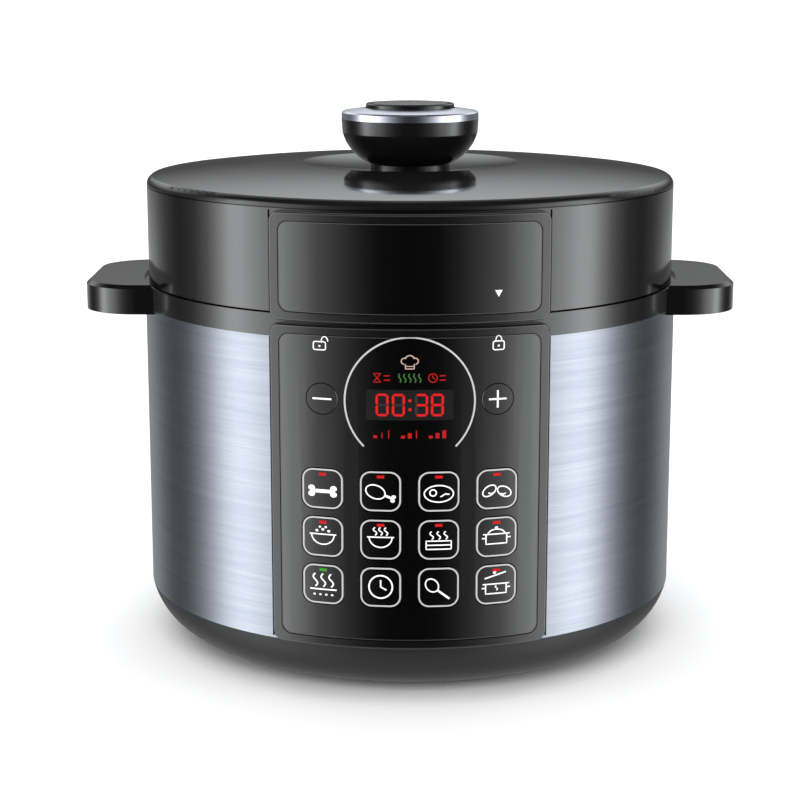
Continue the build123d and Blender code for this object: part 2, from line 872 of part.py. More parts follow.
board_low = base_floor + power_post_h
with BuildPart() as power_board:
    with BuildSketch(Plane.XY.offset(board_low)):
        with Locations((power_board_x, power_board_y)):
            Rectangle(power_board_w, power_board_d)
    extrude(amount=board_t)
    for place_x, place_y, block_width, block_depth, block_height in (relay, transformer, terminal_block):
        with BuildSketch(Plane.XY.offset(board_low + board_t)):
            with Locations((power_board_x + place_x, power_board_y + place_y)):
                Rectangle(block_width, block_depth)
        extrude(amount=block_height)
    with BuildSketch(Plane.XY.offset(board_low + board_t)):
        with Locations(*[(power_board_x + x, power_board_y + capacitor_y) for x in capacitor_xs]):
            Circle(capacitor_r)
    extrude(amount=capacitor_h)
put_out(power_board.part, "power_board")

with BuildPart() as tie_screws:
    with BuildSketch(Plane.XY.offset(base_z + tie_head_sink)):
        with Locations(*tie_places):
            Circle(tie_head_r)
    extrude(amount=base_floor_t - tie_head_sink)
    with BuildSketch(Plane.XY.offset(base_floor)):
        with Locations(*tie_places):
            Circle(tie_r)
    extrude(amount=well_floor_z + well_t + nut_t - base_floor)
    with BuildSketch(Plane.XY.offset(well_floor_z + well_t)):
        with Locations(*tie_places):
            RegularPolygon(nut_w / 2, 6)
    extrude(amount=nut_t)
put_out(tie_screws.part, "tie_screws")

# ------------------------------------------------------------------ mains inlet
inlet_face_y = body_r
inlet_back_y = inlet_face_y - inlet_depth
with BuildPart() as power_inlet:
    with BuildSketch(Plane.XZ.offset(-inlet_face_y + inlet_flange_t)):
        with Locations((0, inlet_z)):
            RectangleRounded(inlet_w, inlet_h, inlet_corner_r)
    extrude(amount=inlet_depth - inlet_flange_t)
    with BuildSketch(Plane.XZ.offset(-inlet_face_y)):
        with Locations((0, inlet_z)):
            RectangleRounded(inlet_w + 2 * inlet_flange, inlet_h + 2 * inlet_flange, inlet_corner_r)
    extrude(amount=inlet_flange_t)
    with BuildSketch(Plane.XZ.offset(-inlet_face_y)):
        with Locations((0, inlet_z)):
            RectangleRounded(
                inlet_w - 2 * inlet_wall, inlet_h - 2 * inlet_wall, inlet_corner_r - inlet_wall / 2
            )
    extrude(amount=inlet_depth - inlet_floor_t, mode=Mode.SUBTRACT)
    with BuildSketch(Plane.XZ.offset(-inlet_back_y + pin_tail)):
        with Locations(
            (0, inlet_z + pin_drop),
            (-pin_pitch, inlet_z - pin_drop),
            (pin_pitch, inlet_z - pin_drop),
        ):
            Rectangle(pin_w, pin_h)
    extrude(amount=-(inlet_depth + pin_tail - pin_recess))
put_out(power_inlet.part, "power_inlet")

# ------------------------------------------------------------------ control panel
def front_outline(width, low, high, corner):
    """A rounded rectangle on the front plane, between two heights."""
    with BuildSketch(Plane.XZ) as outline:
        with Locations((0, (low + high) / 2)):
            RectangleRounded(width, high - low, corner)
    return outline.sketch


def pegs(places, radius, start_y):
    """Round outlines that begin at a given depth behind the front."""
    with BuildSketch(Plane.XZ.offset(start_y)) as outline:
        with Locations(*places):
            Circle(radius)
    return outline.sketch


def curved_panel(outline, r_in, r_out):
    """What a front outline leaves of a round wall between two radii."""
    with BuildPart() as panel:
        extrude(outline, amount=2 * body_r)
        with BuildSketch():
            Circle(r_out)
            if r_in:
                Circle(r_in, mode=Mode.SUBTRACT)
        extrude(amount=2 * lid_wall_top, mode=Mode.INTERSECT)
    return panel.part


def front_face_edges(part, radius):
    """The edges round the outermost curved face of a panel."""
    faces = part.faces().filter_by(GeomType.CYLINDER).filter_by(
        lambda f: abs(f.radius - radius) < 1e-4
    )
    return faces.sort_by(SortBy.AREA)[-1].edges()


board_z = panel_z + board_margin
board_top_z = panel_top - board_margin
post_z_low = panel_z + board_post_margin
post_z_high = panel_top - board_post_margin
post_places = [(x, z) for x in (-board_post_x, board_post_x) for z in (post_z_low, post_z_high)]
round_key_places = [(-round_key_x, round_key_z), (round_key_x, round_key_z)]
inlay_low = panel_z + panel_border
inlay_high = panel_top - panel_border

panel_blank = curved_panel(front_outline(panel_w, panel_z, panel_top, panel_corner_r), body_r, panel_r)
panel_pocket = curved_panel(
    front_outline(
        inlay_w + 2 * panel_groove,
        inlay_low - panel_groove,
        inlay_high + panel_groove,
        inlay_corner_r + panel_groove,
    ),
    inlay_floor_r,
    2 * body_r,
)
board_posts = curved_panel(pegs(post_places, board_post_r, board_y), 0, body_r + panel_floor_t / 2)
with BuildPart() as control_panel_frame:
    add(panel_blank)
    fillet(front_face_edges(control_panel_frame.part, panel_r), radius=panel_edge_r)
    add(panel_pocket, mode=Mode.SUBTRACT)
    add(board_posts)
    with BuildSketch(Plane.XZ):
        with Locations(*key_places, *round_key_places):
            Circle(plunger_r + plunger_gap)
        with Locations((0, display_z)):
            Rectangle(display_w + 2 * fit_gap, display_h + 2 * fit_gap)
    extrude(amount=2 * body_r, mode=Mode.SUBTRACT)
    with BuildSketch(Plane.XZ.offset(board_y)):
        with Locations(*post_places):
            Circle(screw_r)
    extrude(amount=board_screw_len, mode=Mode.SUBTRACT)
put_out(control_panel_frame.part, "control_panel_frame")

# The glossy inlay, with a hole for each key and for the display
inlay_blank = curved_panel(
    front_outline(inlay_w, inlay_low, inlay_high, inlay_corner_r), inlay_floor_r, inlay_r
)
with BuildPart() as control_panel_inlay:
    add(inlay_blank)
    chamfer(front_face_edges(control_panel_inlay.part, inlay_r), length=inlay_edge)
    with BuildSketch(Plane.XZ):
        with Locations(*key_places):
            RectangleRounded(key_w + 2 * key_gap, key_w + 2 * key_gap, key_corner_r + key_gap)
        with Locations(*round_key_places):
            Circle(round_key_r + key_gap)
        with Locations((0, display_z)):
            RectangleRounded(display_w + 2 * fit_gap, display_h + 2 * fit_gap, display_corner_r)
    extrude(amount=2 * body_r, mode=Mode.SUBTRACT)
put_out(control_panel_inlay.part, "control_panel_inlay")

# ------------------------------------------------------------------ keys
# Each key is a curved cap flush with the inlay, with a plunger that presses a switch.
key_names = [f"key_{i + 1:02d}" for i in range(len(key_places))] + ["key_minus", "key_plus"]
for name, (x, z) in zip(key_names, key_places + round_key_places):
    with BuildSketch(Plane.XZ) as cap_outline:
        with Locations((x, z)):
            if name in ("key_minus", "key_plus"):
                Circle(round_key_r)
            else:
                RectangleRounded(key_w, key_w, key_corner_r)
    cap = curved_panel(cap_outline.sketch, key_back_r, key_face_r)
    plunger = curved_panel(pegs([(x, z)], plunger_r, plunger_y), 0, key_back_r + key_t / 2)
    with BuildPart() as key:
        add(cap)
        chamfer(front_face_edges(key.part, key_face_r), length=key_edge)
        add(plunger)
    put_out(key.part, name)

# ------------------------------------------------------------------ display and control board
with BuildSketch(Plane.XZ.offset(board_y)) as display_outline:
    with Locations((0, display_z)):
        RectangleRounded(display_w, display_h, display_corner_r)
with BuildPart() as display_module:
    add(curved_panel(display_outline.sketch, 0, inlay_r - display_sink))
put_out(display_module.part, "display_module")

with BuildPart() as control_board:
    with BuildSketch(Plane.XZ.offset(board_y - board_t)):
        with Locations((0, (board_z + board_top_z) / 2)):
            Rectangle(2 * board_half_w, board_top_z - board_z)
        with Locations(*post_places):
            Circle(screw_r + fit_gap, mode=Mode.SUBTRACT)
    extrude(amount=board_t)
    with BuildSketch(Plane.XZ.offset(board_y)):
        with Locations(*key_places, *round_key_places):
            Rectangle(switch_w, switch_w)
    extrude(amount=switch_t)
put_out(control_board.part, "control_board")

with BuildPart() as panel_screws:
    with BuildSketch(Plane.XZ.offset(board_y - board_t - screw_head_t)):
        with Locations(*post_places):
            Circle(screw_head_r)
    extrude(amount=screw_head_t)
    with BuildSketch(Plane.XZ.offset(board_y - board_t)):
        with Locations(*post_places):
            Circle(screw_r)
    extrude(amount=board_t + board_screw_len)
put_out(panel_screws.part, "panel_screws")

# ------------------------------------------------------------------ wiring
# A loom from the power board up beside the well to its plug on the back of the control
# board, in straight runs joined by tangent bends.
loom_at = (well_r + body_r - shell_t) / 2
loom_x = power_board_x - loom_x_in_board
board_back_y = board_t - board_y


def beside_well(angle, over_base):
    """A point of the loom between the well and the steel band."""
    turn = math.radians(angle)
    return (-loom_at * math.cos(turn), -loom_at * math.sin(turn), base_top + over_base)


loom_points = [
    (loom_x, power_board_y, board_low + board_t),
    (loom_x, power_board_y, board_low + board_t + loom_rise),
    beside_well(-20, 14),
    beside_well(-8, 52),
    beside_well(18, 66),
    beside_well(43, 62),
    (plug_x, board_back_y + plug_depth / 2, base_top + plug_over_base),
]
with BuildPart() as wiring:
    with BuildLine():
        FilletPolyline(*loom_points, radius=loom_bend)
    with BuildSketch(Plane(origin=loom_points[0], z_dir=(0, 0, 1))):
        Circle(loom_r)
    sweep()
    with BuildSketch(Plane.XZ.offset(-board_back_y)):
        with Locations((plug_x, base_top + plug_over_base)):
            Rectangle(plug_w, plug_h)
    extrude(amount=-plug_depth)
put_out(wiring.part, "wiring")

# ------------------------------------------------------------------ condensation cup
# It hangs between the apron's lips below the drain, and pulls straight back.
with BuildPart() as condensation_cup:
    with BuildSketch(Plane.XY.offset(cup_z)):
        with Locations((0, cup_front_y / 2)):
            RectangleRounded(2 * cup_half_w, cup_front_y, cup_corner_r)
        Circle(cup_back_r, mode=Mode.SUBTRACT)
    extrude(amount=cup_h)
    with BuildSketch(Plane.XY.offset(cup_z + cup_t)):
        with Locations((0, cup_front_y / 2)):
            RectangleRounded(2 * (cup_half_w - cup_t), cup_front_y - 2 * cup_t, cup_corner_r - cup_t)
        Circle(cup_back_r + cup_t, mode=Mode.SUBTRACT)
    extrude(amount=cup_h, mode=Mode.SUBTRACT)
    # Finger lip along the top of the front wall
    with BuildSketch(Plane.XY.offset(cup_top - cup_t)):
        with Locations((0, cup_front_y + cup_lip_out - cup_lip_d / 2)):
            RectangleRounded(cup_lip_w, cup_lip_d, cup_lip_corner_r)
    extrude(amount=cup_t)
put_out(condensation_cup.part, "condensation_cup")

# ------------------------------------------------------------------ sealing ring
with BuildPart() as sealing_ring:
    with BuildSketch(Plane.XZ):
        with BuildLine():
            Polyline(
                (seal_r, seal_z),
                (seal_r, seal_top),
                (seal_r_in, seal_top),
                (seal_r_in, seal_top - seal_lip_t),
                (seal_r - seal_wall, seal_top - seal_lip_t),
                (seal_r - seal_wall, seal_z + seal_lip_t),
                (seal_r - seal_low_lip_w, seal_z + seal_lip_t),
                (seal_r - seal_low_lip_w, seal_z),
                close=True,
            )
        make_face()
    revolve(axis=Axis.Z)
put_out(sealing_ring.part, "sealing_ring")

# ------------------------------------------------------------------ pressure lid
# Pressed steel: a raised middle, two ribs that hold the sealing ring, a skirt with inward
# lugs that engage below the well's lugs, and four welded studs.
with BuildPart() as pressure_lid:
    with BuildSketch(Plane.XZ):
        with BuildLine():
            Polyline(
                (pipe_r + fit_gap, plid_mid_z),
                (plid_rise_r, plid_mid_z),
                (plid_rise_r + 2 * plid_rise, plid_z),
                (seal_r_in - soft_gap - seal_rib_t, plid_z),
                (seal_r_in - soft_gap - seal_rib_t, plid_z - seal_rib_h),
                (seal_r_in - soft_gap, plid_z - seal_rib_h),
                (seal_r_in - soft_gap, plid_z),
                (seal_r + soft_gap, plid_z),
                (seal_r + soft_gap, plid_z - seal_rib_h),
                (seal_r + soft_gap + seal_rib_t, plid_z - seal_rib_h),
                (seal_r + soft_gap + seal_rib_t, plid_z),
                (skirt_r_in, plid_z),
                (skirt_r_in, lid_lug_z),
                (skirt_r, lid_lug_z),
                (skirt_r, plid_top),
                (plid_rise_r + 2 * plid_rise, plid_top),
                (plid_rise_r, plid_mid_top),
                (pipe_r + fit_gap, plid_mid_top),
                close=True,
            )
        make_face()
    revolve(axis=Axis.Z)
    with BuildSketch(Plane.XY.offset(lid_lug_z)):
        with PolarLocations(0, lug_count):
            with BuildLine():
                CenterArc((0, 0), skirt_r_in + skirt_t / 2, -lid_lug_angle / 2, lid_lug_angle)
                CenterArc((0, 0), lid_lug_r, -lid_lug_angle / 2, lid_lug_angle)
                for turn in (-lid_lug_angle / 2, lid_lug_angle / 2):
                    Line(
                        Vector(lid_lug_r, 0).rotate(Axis.Z, turn),
                        Vector(skirt_r_in + skirt_t / 2, 0).rotate(Axis.Z, turn),
                    )
            make_face()
    extrude(amount=lid_lug_t)
    with BuildSketch(Plane.XY.offset(plid_top)):
        with Locations(*stud_places):
            Circle(stud_r)
    extrude(amount=deck_top + nut_t + 1 - plid_top)
    with BuildSketch(Plane.XY.offset(plid_z)):
        with Locations((0, float_y)):
            Circle(float_r + float_gap)
    extrude(amount=2 * plid_rise, mode=Mode.SUBTRACT)
put_out(pressure_lid.part, "pressure_lid")

# ------------------------------------------------------------------ lid skirt
# The black wall of the lid, with a deck that is bolted down to the pressure lid's studs.
with BuildPart() as lid_skirt:
    with BuildSketch(Plane.XZ):
        with BuildLine():
            Polyline(
                (lid_r_in, lid_z),
                (lid_r, lid_z),
                (lid_r, lid_wall_top),
                (lid_r_in, lid_wall_top),
                (lid_r_in, deck_top),
                (deck_hole_r, deck_top),
                (deck_hole_r, deck_z),
                (lid_r_in, deck_z),
                close=True,
            )
        make_face()
    revolve(axis=Axis.Z)
    with BuildSketch(Plane.XY.offset(plid_top)):
        with Locations(*stud_places):
            Circle(boss_r)
    extrude(amount=deck_z - plid_top)
    with BuildSketch(Plane.XY.offset(plid_top)):
        with Locations(*stud_places):
            Circle(stud_r + stud_gap)
    extrude(amount=deck_top - plid_top, mode=Mode.SUBTRACT)
put_out(lid_skirt.part, "lid_skirt")

with BuildPart() as lid_nuts:
    with BuildSketch(Plane.XY.offset(deck_top)):
        with Locations(*stud_places):
            RegularPolygon(nut_w / 2, 6)
            Circle(stud_r + fit_gap / 2, mode=Mode.SUBTRACT)
    extrude(amount=nut_t)
put_out(lid_nuts.part, "lid_nuts")

# ------------------------------------------------------------------ lid top cover
rim_r = lid_r_in - fit_gap
rim_r_in = rim_r - wall
crown_mid_r = (dish_r + lid_r) / 2
crown_mid_z = crown_z - crown_bow * (crown_z - bevel_z)
dish_mid_r = (dish_r + neck_r) / 2
dish_mid_z = dish_z + dish_bow * dish_depth
bevel_mid_r = lid_r - bevel_bow_in * bevel_w
bevel_mid_z = cover_z + cover_gap + bevel_bow_up * (bevel_h - cover_gap)
with BuildPart() as lid_top_cover:
    with BuildSketch(Plane.XZ):
        with BuildLine():
            Line((lid_r, cover_z), (lid_r, cover_z + cover_gap))
            ThreePointArc(
                (lid_r, cover_z + cover_gap),
                (bevel_mid_r, bevel_mid_z),
                (lid_r - bevel_w, bevel_z),
            )
            ThreePointArc((lid_r - bevel_w, bevel_z), (crown_mid_r, crown_mid_z), (dish_r, crown_z))
            ThreePointArc((dish_r, crown_z), (dish_mid_r, dish_mid_z), (neck_r, dish_z))
            Line((neck_r, dish_z), (cover_hole_r, dish_z))
            Line((cover_hole_r, dish_z), (cover_hole_r, dish_z - cover_t))
            Line((cover_hole_r, dish_z - cover_t), (neck_r, dish_z - cover_t))
            ThreePointArc(
                (neck_r, dish_z - cover_t),
                (dish_mid_r, dish_mid_z - cover_t),
                (dish_r, crown_z - cover_t),
            )
            ThreePointArc(
                (dish_r, crown_z - cover_t), (crown_mid_r, crown_mid_z - cover_t), (rim_r_in, cover_z)
            )
            Line((rim_r_in, cover_z), (rim_r_in, lid_wall_top - locating_rim_h))
            Line((rim_r_in, lid_wall_top - locating_rim_h), (rim_r, lid_wall_top - locating_rim_h))
            Line((rim_r, lid_wall_top - locating_rim_h), (rim_r, cover_z))
            Line((rim_r, cover_z), (lid_r, cover_z))
        make_face()
    revolve(axis=Axis.Z)
    with BuildSketch(Plane.XY.offset(dish_z - cover_t)):
        with Locations(*knob_screw_places):
            Circle(screw_r + 2 * fit_gap)
    extrude(amount=cover_t, mode=Mode.SUBTRACT)
put_out(lid_top_cover.part, "lid_top_cover")

# ------------------------------------------------------------------ lid fascia
fascia_low = fascia_z + panel_border
fascia_high = fascia_top - panel_border
fascia_blank = curved_panel(front_outline(panel_w, fascia_z, fascia_top, panel_corner_r), lid_r, panel_r)
fascia_pocket = curved_panel(
    front_outline(
        inlay_w + 2 * panel_groove,
        fascia_low - panel_groove,
        fascia_high + panel_groove,
        inlay_corner_r + panel_groove,
    ),
    inlay_floor_r,
    2 * body_r,
)
with BuildPart() as lid_fascia_frame:
    add(fascia_blank)
    fillet(front_face_edges(lid_fascia_frame.part, panel_r), radius=panel_edge_r)
    add(fascia_pocket, mode=Mode.SUBTRACT)
    # The edge that hangs below the skirt clears the upper ring as the lid turns
    with BuildSketch():
        Circle(body_r + fascia_relief)
    extrude(amount=lid_z, mode=Mode.SUBTRACT)
put_out(lid_fascia_frame.part, "lid_fascia_frame")

fascia_inlay_blank = curved_panel(
    front_outline(inlay_w, fascia_low, fascia_high, inlay_corner_r), inlay_floor_r, inlay_r
)
with BuildPart() as lid_fascia_inlay:
    add(fascia_inlay_blank)
    chamfer(front_face_edges(lid_fascia_inlay.part, inlay_r), length=inlay_edge)
put_out(lid_fascia_inlay.part, "lid_fascia_inlay")

# ------------------------------------------------------------------ steam pipe and shield
with BuildPart() as steam_pipe:
    with BuildSketch(Plane.XZ):
        with BuildLine():
            Polyline(
                (pipe_bore_r, plid_mid_z - pipe_tail),
                (pipe_r, plid_mid_z - pipe_tail),
                (pipe_r, plid_mid_z - nut_t),
                (pipe_nut_r, plid_mid_z - nut_t),
                (pipe_nut_r, plid_mid_z),
                (pipe_r, plid_mid_z),
                (pipe_r, plid_mid_top),
                (pipe_flange_r, plid_mid_top),
                (pipe_flange_r, plid_mid_top + pipe_flange_t),
                (pipe_r, plid_mid_top + pipe_flange_t),
                (pipe_r, pipe_top),
                (pipe_bore_r, pipe_top),
                close=True,
            )
        make_face()
    revolve(axis=Axis.Z)
put_out(steam_pipe.part, "steam_pipe")

with BuildPart() as steam_shield:
    with BuildSketch(Plane.XY.offset(plid_mid_z - shield_h)):
        Circle(shield_r)
    extrude(amount=shield_h)
    with BuildSketch(Plane.XY.offset(plid_mid_z - shield_h + shield_t)):
        Circle(shield_r - shield_t)
    extrude(amount=shield_h, mode=Mode.SUBTRACT)
    for place in PolarLocations(0, shield_slots):
        with BuildSketch(Plane.YZ.rotated((0, 0, place.orientation.Z))) as slot:
            with Locations((0, plid_mid_z - shield_h / 2)):
                SlotOverall(shield_h / 2, 3, rotation=90)
        extrude(amount=2 * shield_r, mode=Mode.SUBTRACT)
put_out(steam_shield.part, "steam_shield")

# ------------------------------------------------------------------ float valve
# A pin that steam lifts until its seal meets the lid. Its head hangs inside the pot.
float_seal_top = plid_mid_z - soft_gap - float_travel
float_seal_z = float_seal_top - float_seal_t
with BuildPart() as float_valve:
    with BuildSketch(Plane.XY.offset(float_seal_z - float_head_t)):
        with Locations((0, float_y)):
            Circle(float_head_r)
    extrude(amount=float_head_t)
    with BuildSketch(Plane.XY.offset(float_seal_z)):
        with Locations((0, float_y)):
            Circle(float_r)
    extrude(amount=plid_mid_top + float_top_over_lid - float_seal_z)
put_out(float_valve.part, "float_valve")

with BuildPart() as float_valve_seal:
    with BuildSketch(Plane.XY.offset(float_seal_z)):
        with Locations((0, float_y)):
            Circle(float_head_r)
            Circle(float_r, mode=Mode.SUBTRACT)
    extrude(amount=float_seal_t)
put_out(float_valve_seal.part, "float_valve_seal")

# ------------------------------------------------------------------ knob
post_y = rocker_w / 2 + pin_post_gap + pin_post_w / 2
pin_end_y = post_y + pin_post_w / 2
knob_screw_len = knob_floor_t - screw_end_gap
with BuildPart() as knob_body:
    with BuildSketch(Plane.XZ):
        with BuildLine():
            Line((knob_hole_r, dish_z), (neck_r, dish_z))
            Line((neck_r, dish_z), (neck_r, neck_top))
            ThreePointArc(
                (neck_r, neck_top),
                (neck_r + bowl_bow_out * (knob_r - neck_r), neck_top + bowl_bow_up * knob_bowl_h),
                (knob_r - knob_draft, bowl_top),
            )
            Line((knob_r - knob_draft, bowl_top), (knob_r, knob_top))
            Line((knob_r, knob_top), (knob_r_in, knob_top))
            Line((knob_r_in, knob_top), (knob_r_in, ledge_z))
            Line((knob_r_in, ledge_z), (knob_ledge_r, ledge_z))
            Line((knob_ledge_r, ledge_z), (knob_ledge_r, ledge_z - knob_ledge_t))
            Line((knob_ledge_r, ledge_z - knob_ledge_t), (neck_r - knob_wall, knob_floor))
            Line((neck_r - knob_wall, knob_floor), (knob_hole_r, knob_floor))
            Line((knob_hole_r, knob_floor), (knob_hole_r, dish_z))
        make_face()
    revolve(axis=Axis.Z)
    # Two posts carry the rocker's pin
    with BuildSketch(Plane.XY.offset(knob_floor)):
        with Locations((rocker_pivot_x, post_y), (rocker_pivot_x, -post_y)):
            Rectangle(pin_post_l, pin_post_w)
    extrude(amount=rocker_z + pin_post_over - knob_floor)
    with BuildSketch(Plane.XZ.offset(-pin_end_y)):
        with Locations((rocker_pivot_x, rocker_z)):
            Circle(pin_r)
    extrude(amount=2 * pin_end_y, mode=Mode.SUBTRACT)
    with BuildSketch(Plane.XY.offset(dish_z)):
        with Locations(*knob_screw_places):
            Circle(screw_r)
    extrude(amount=knob_screw_len + 4 * fit_gap, mode=Mode.SUBTRACT)
put_out(knob_body.part, "knob_body")

with BuildPart() as knob_screws:
    with BuildSketch(Plane.XY.offset(dish_z - cover_t - screw_head_t)):
        with Locations(*knob_screw_places):
            Circle(screw_head_r)
    extrude(amount=screw_head_t)
    with BuildSketch(Plane.XY.offset(dish_z - cover_t)):
        with Locations(*knob_screw_places):
            Circle(screw_r)
    extrude(amount=cover_t + knob_screw_len)
put_out(knob_screws.part, "knob_screws")

with BuildPart() as knob_trim_ring:
    with BuildSketch(Plane.XZ):
        with BuildLine():
            Polyline(
                (spigot_in_r, knob_top - trim_spigot_h),
                (knob_r_in - fit_gap, knob_top - trim_spigot_h),
                (knob_r_in - fit_gap, knob_top),
                (knob_r - fit_gap, knob_top),
                (knob_r - fit_gap, trim_top - trim_edge),
                (knob_r - fit_gap - trim_edge, trim_top),
                (trim_in_r, trim_in_top),
                (trim_in_r, trim_roof),
                (spigot_in_r, trim_roof),
                close=True,
            )
        make_face()
    revolve(axis=Axis.Z)
put_out(knob_trim_ring.part, "knob_trim_ring")

# ------------------------------------------------------------------ vent button and its spring
with BuildPart() as vent_button:
    with BuildSketch(Plane.XZ):
        with BuildLine():
            Polyline(
                (0, button_top),
                (button_r - button_edge, button_top),
                (button_r, button_top - button_edge),
                (button_r, button_flange_top),
                (flange_out_r, button_flange_top),
                (flange_out_r, button_flange_z),
                (button_r - button_t, button_flange_z),
                (button_r - button_t, button_top - button_t),
                (0, button_top - button_t),
                close=True,
            )
        make_face()
    revolve(axis=Axis.Z)
    with BuildSketch(Plane.XY.offset(rocker_z + rocker_t / 2 + valve_gap)):
        with Locations((rocker_pivot_x + finger_reach, 0)):
            Rectangle(finger_t, finger_w)
    extrude(amount=button_top - button_t / 2 - rocker_z - rocker_t / 2 - valve_gap)
put_out(vent_button.part, "vent_button")

vent_button_spring = coil_spring(
    flange_out_r - button_spring_inset,
    ledge_z,
    button_flange_z - soft_gap - ledge_z,
    button_spring_wire,
    button_spring_turns,
)
put_out(vent_button_spring, "vent_button_spring")

# ------------------------------------------------------------------ limit valve and its rocker
with BuildPart() as limit_valve:
    with BuildSketch(Plane.XZ):
        with BuildLine():
            Polyline(
                (0, valve_top),
                (valve_r, valve_top),
                (valve_r, valve_collar_z + valve_collar_t),
                (valve_collar_r, valve_collar_z + valve_collar_t),
                (valve_collar_r, valve_collar_z),
                (valve_r, valve_collar_z),
                (valve_r, valve_z),
                (pipe_r + valve_gap, valve_z),
                (pipe_r + valve_gap, pipe_top + valve_gap),
                (0, pipe_top + valve_gap),
                close=True,
            )
        make_face()
    revolve(axis=Axis.Z)
put_out(limit_valve.part, "limit_valve")

with BuildPart() as valve_rocker:
    with BuildSketch(Plane.XZ.offset(-rocker_w / 2)):
        with Locations((rocker_pivot_x + (rocker_arm - rocker_tail) / 2, rocker_z)):
            Rectangle(rocker_arm + rocker_tail, rocker_t)
        with Locations((rocker_pivot_x, rocker_z)):
            Circle(rocker_hub_r)
            Circle(pin_r + pin_gap, mode=Mode.SUBTRACT)
    extrude(amount=rocker_w)
put_out(valve_rocker.part, "valve_rocker")

with BuildPart() as rocker_pin:
    with BuildSketch(Plane.XZ.offset(-pin_end_y)):
        with Locations((rocker_pivot_x, rocker_z)):
            Circle(pin_r)
    extrude(amount=2 * pin_end_y)
put_out(rocker_pin.part, "rocker_pin")
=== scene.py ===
import math

import bpy
import bmesh
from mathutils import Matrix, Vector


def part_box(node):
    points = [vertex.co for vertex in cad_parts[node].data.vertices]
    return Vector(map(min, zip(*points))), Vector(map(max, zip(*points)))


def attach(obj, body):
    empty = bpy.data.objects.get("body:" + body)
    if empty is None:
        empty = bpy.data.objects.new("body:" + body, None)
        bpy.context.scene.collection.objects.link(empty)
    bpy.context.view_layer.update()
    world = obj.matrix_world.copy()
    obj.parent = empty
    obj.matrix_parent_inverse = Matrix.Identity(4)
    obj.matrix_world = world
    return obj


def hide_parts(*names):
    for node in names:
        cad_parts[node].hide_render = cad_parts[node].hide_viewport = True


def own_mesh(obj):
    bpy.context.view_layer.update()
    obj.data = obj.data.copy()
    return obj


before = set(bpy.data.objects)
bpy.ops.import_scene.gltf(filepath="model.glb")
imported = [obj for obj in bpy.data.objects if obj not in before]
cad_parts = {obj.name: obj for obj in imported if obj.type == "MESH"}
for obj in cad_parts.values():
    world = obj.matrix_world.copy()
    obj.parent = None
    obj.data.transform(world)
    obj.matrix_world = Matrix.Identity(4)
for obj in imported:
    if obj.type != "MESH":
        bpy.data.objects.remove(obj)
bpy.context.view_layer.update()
mm = 0.001


# ---------------------------------------------------------------- studio
# A pale sweep with a tall soft box at each side and one above and behind, the way
# glossy black kitchenware is lit. The camera stands a little above the lid.
class Value:
    """A number or colour in a node tree. Arithmetic on it adds Math nodes."""

    def __init__(self, nodes, socket):
        self.nodes, self.socket = nodes, socket

    def maths(self, operation, *others):
        return self.nodes.node("ShaderNodeMath", {"operation": operation}, (self, *others))

    def turned(self, operation, other):
        return self.nodes.node("ShaderNodeMath", {"operation": operation}, (other, self))

    def __add__(self, other):
        return self.maths("ADD", other)

    def __sub__(self, other):
        return self.maths("SUBTRACT", other)

    def __rsub__(self, other):
        return self.turned("SUBTRACT", other)

    def __mul__(self, other):
        return self.maths("MULTIPLY", other)

    def __truediv__(self, other):
        return self.maths("DIVIDE", other)

    def __pow__(self, other):
        return self.maths("POWER", other)

    __radd__, __rmul__ = __add__, __mul__


class Nodes:
    """A node tree that is built by calls."""

    def __init__(self, tree):
        self.tree = tree

    def node(self, kind, settings=None, inputs=(), output=0):
        made = self.tree.nodes.new(kind)
        for key, value in (settings or {}).items():
            if key == "stops":
                stops = made.color_ramp.elements
                while len(stops) < len(value):
                    stops.new(1.0)
                for stop, (place, shade) in zip(stops, value):
                    stop.position = place
                    stop.color = shade if hasattr(shade, "__len__") else (shade, shade, shade, 1)
            else:
                setattr(made, key, value)
        pairs = inputs.items() if isinstance(inputs, dict) else enumerate(inputs)
        for key, value in pairs:
            if isinstance(value, Value):
                self.tree.links.new(value.socket, made.inputs[key])
            else:
                made.inputs[key].default_value = value
        return Value(self, made.outputs[output]) if len(made.outputs) else None

    def smooth(self, value, low, high):
        """0 below low, 1 above high, and smooth between."""
        return self.node(
            "ShaderNodeMapRange",
            {"interpolation_type": "SMOOTHSTEP"},
            {"Value": value, "From Min": low, "From Max": high},
        )


world = bpy.data.worlds.new("studio")
bpy.context.scene.world = world
world.use_nodes = True
world.node_tree.nodes.clear()
sky = Nodes(world.node_tree)
heading = sky.node("ShaderNodeTexCoord", output="Generated")
east, north, up = (sky.node("ShaderNodeSeparateXYZ", None, [heading], i) for i in range(3))
turn = east.maths("ARCTAN2", -1 * north)
side = turn.maths("ABSOLUTE") / math.pi
# Brightness round the horizon from straight ahead to straight behind, a quarter of its value
around = sky.node(
    "ShaderNodeValToRGB",
    {
        "stops": [
            (degrees / 180, shade)
            for degrees, shade in (
                (0, 0.001), (12, 0.004), (20, 0.022), (29, 0.065), (38, 0.125), (46, 0.27), (54, 0.43),
                (62, 0.52), (70, 0.72), (77, 0.95), (83, 0.88), (89, 0.46), (96, 0.17), (105, 0.045),
                (118, 0.016), (130, 0.045), (146, 0.14), (180, 0.14),
            )
        ]
    },
    [side],
)
wall_band = sky.smooth(up, -0.92, -0.60) * (1 - sky.smooth(up, 0.34, 0.66))
behind = sky.smooth(side, 0.66, 0.80)
low_behind = 1 - behind * sky.smooth(up, -0.16, -0.04) * 0.84
back_box = sky.smooth(side, 0.56, 0.84) * sky.smooth(up, 0.045, 0.56) * (1 - 0.6 * sky.smooth(up, 0.38, 0.8))
ground = (1 - sky.smooth(up, -0.86, -0.52)) * 0.55
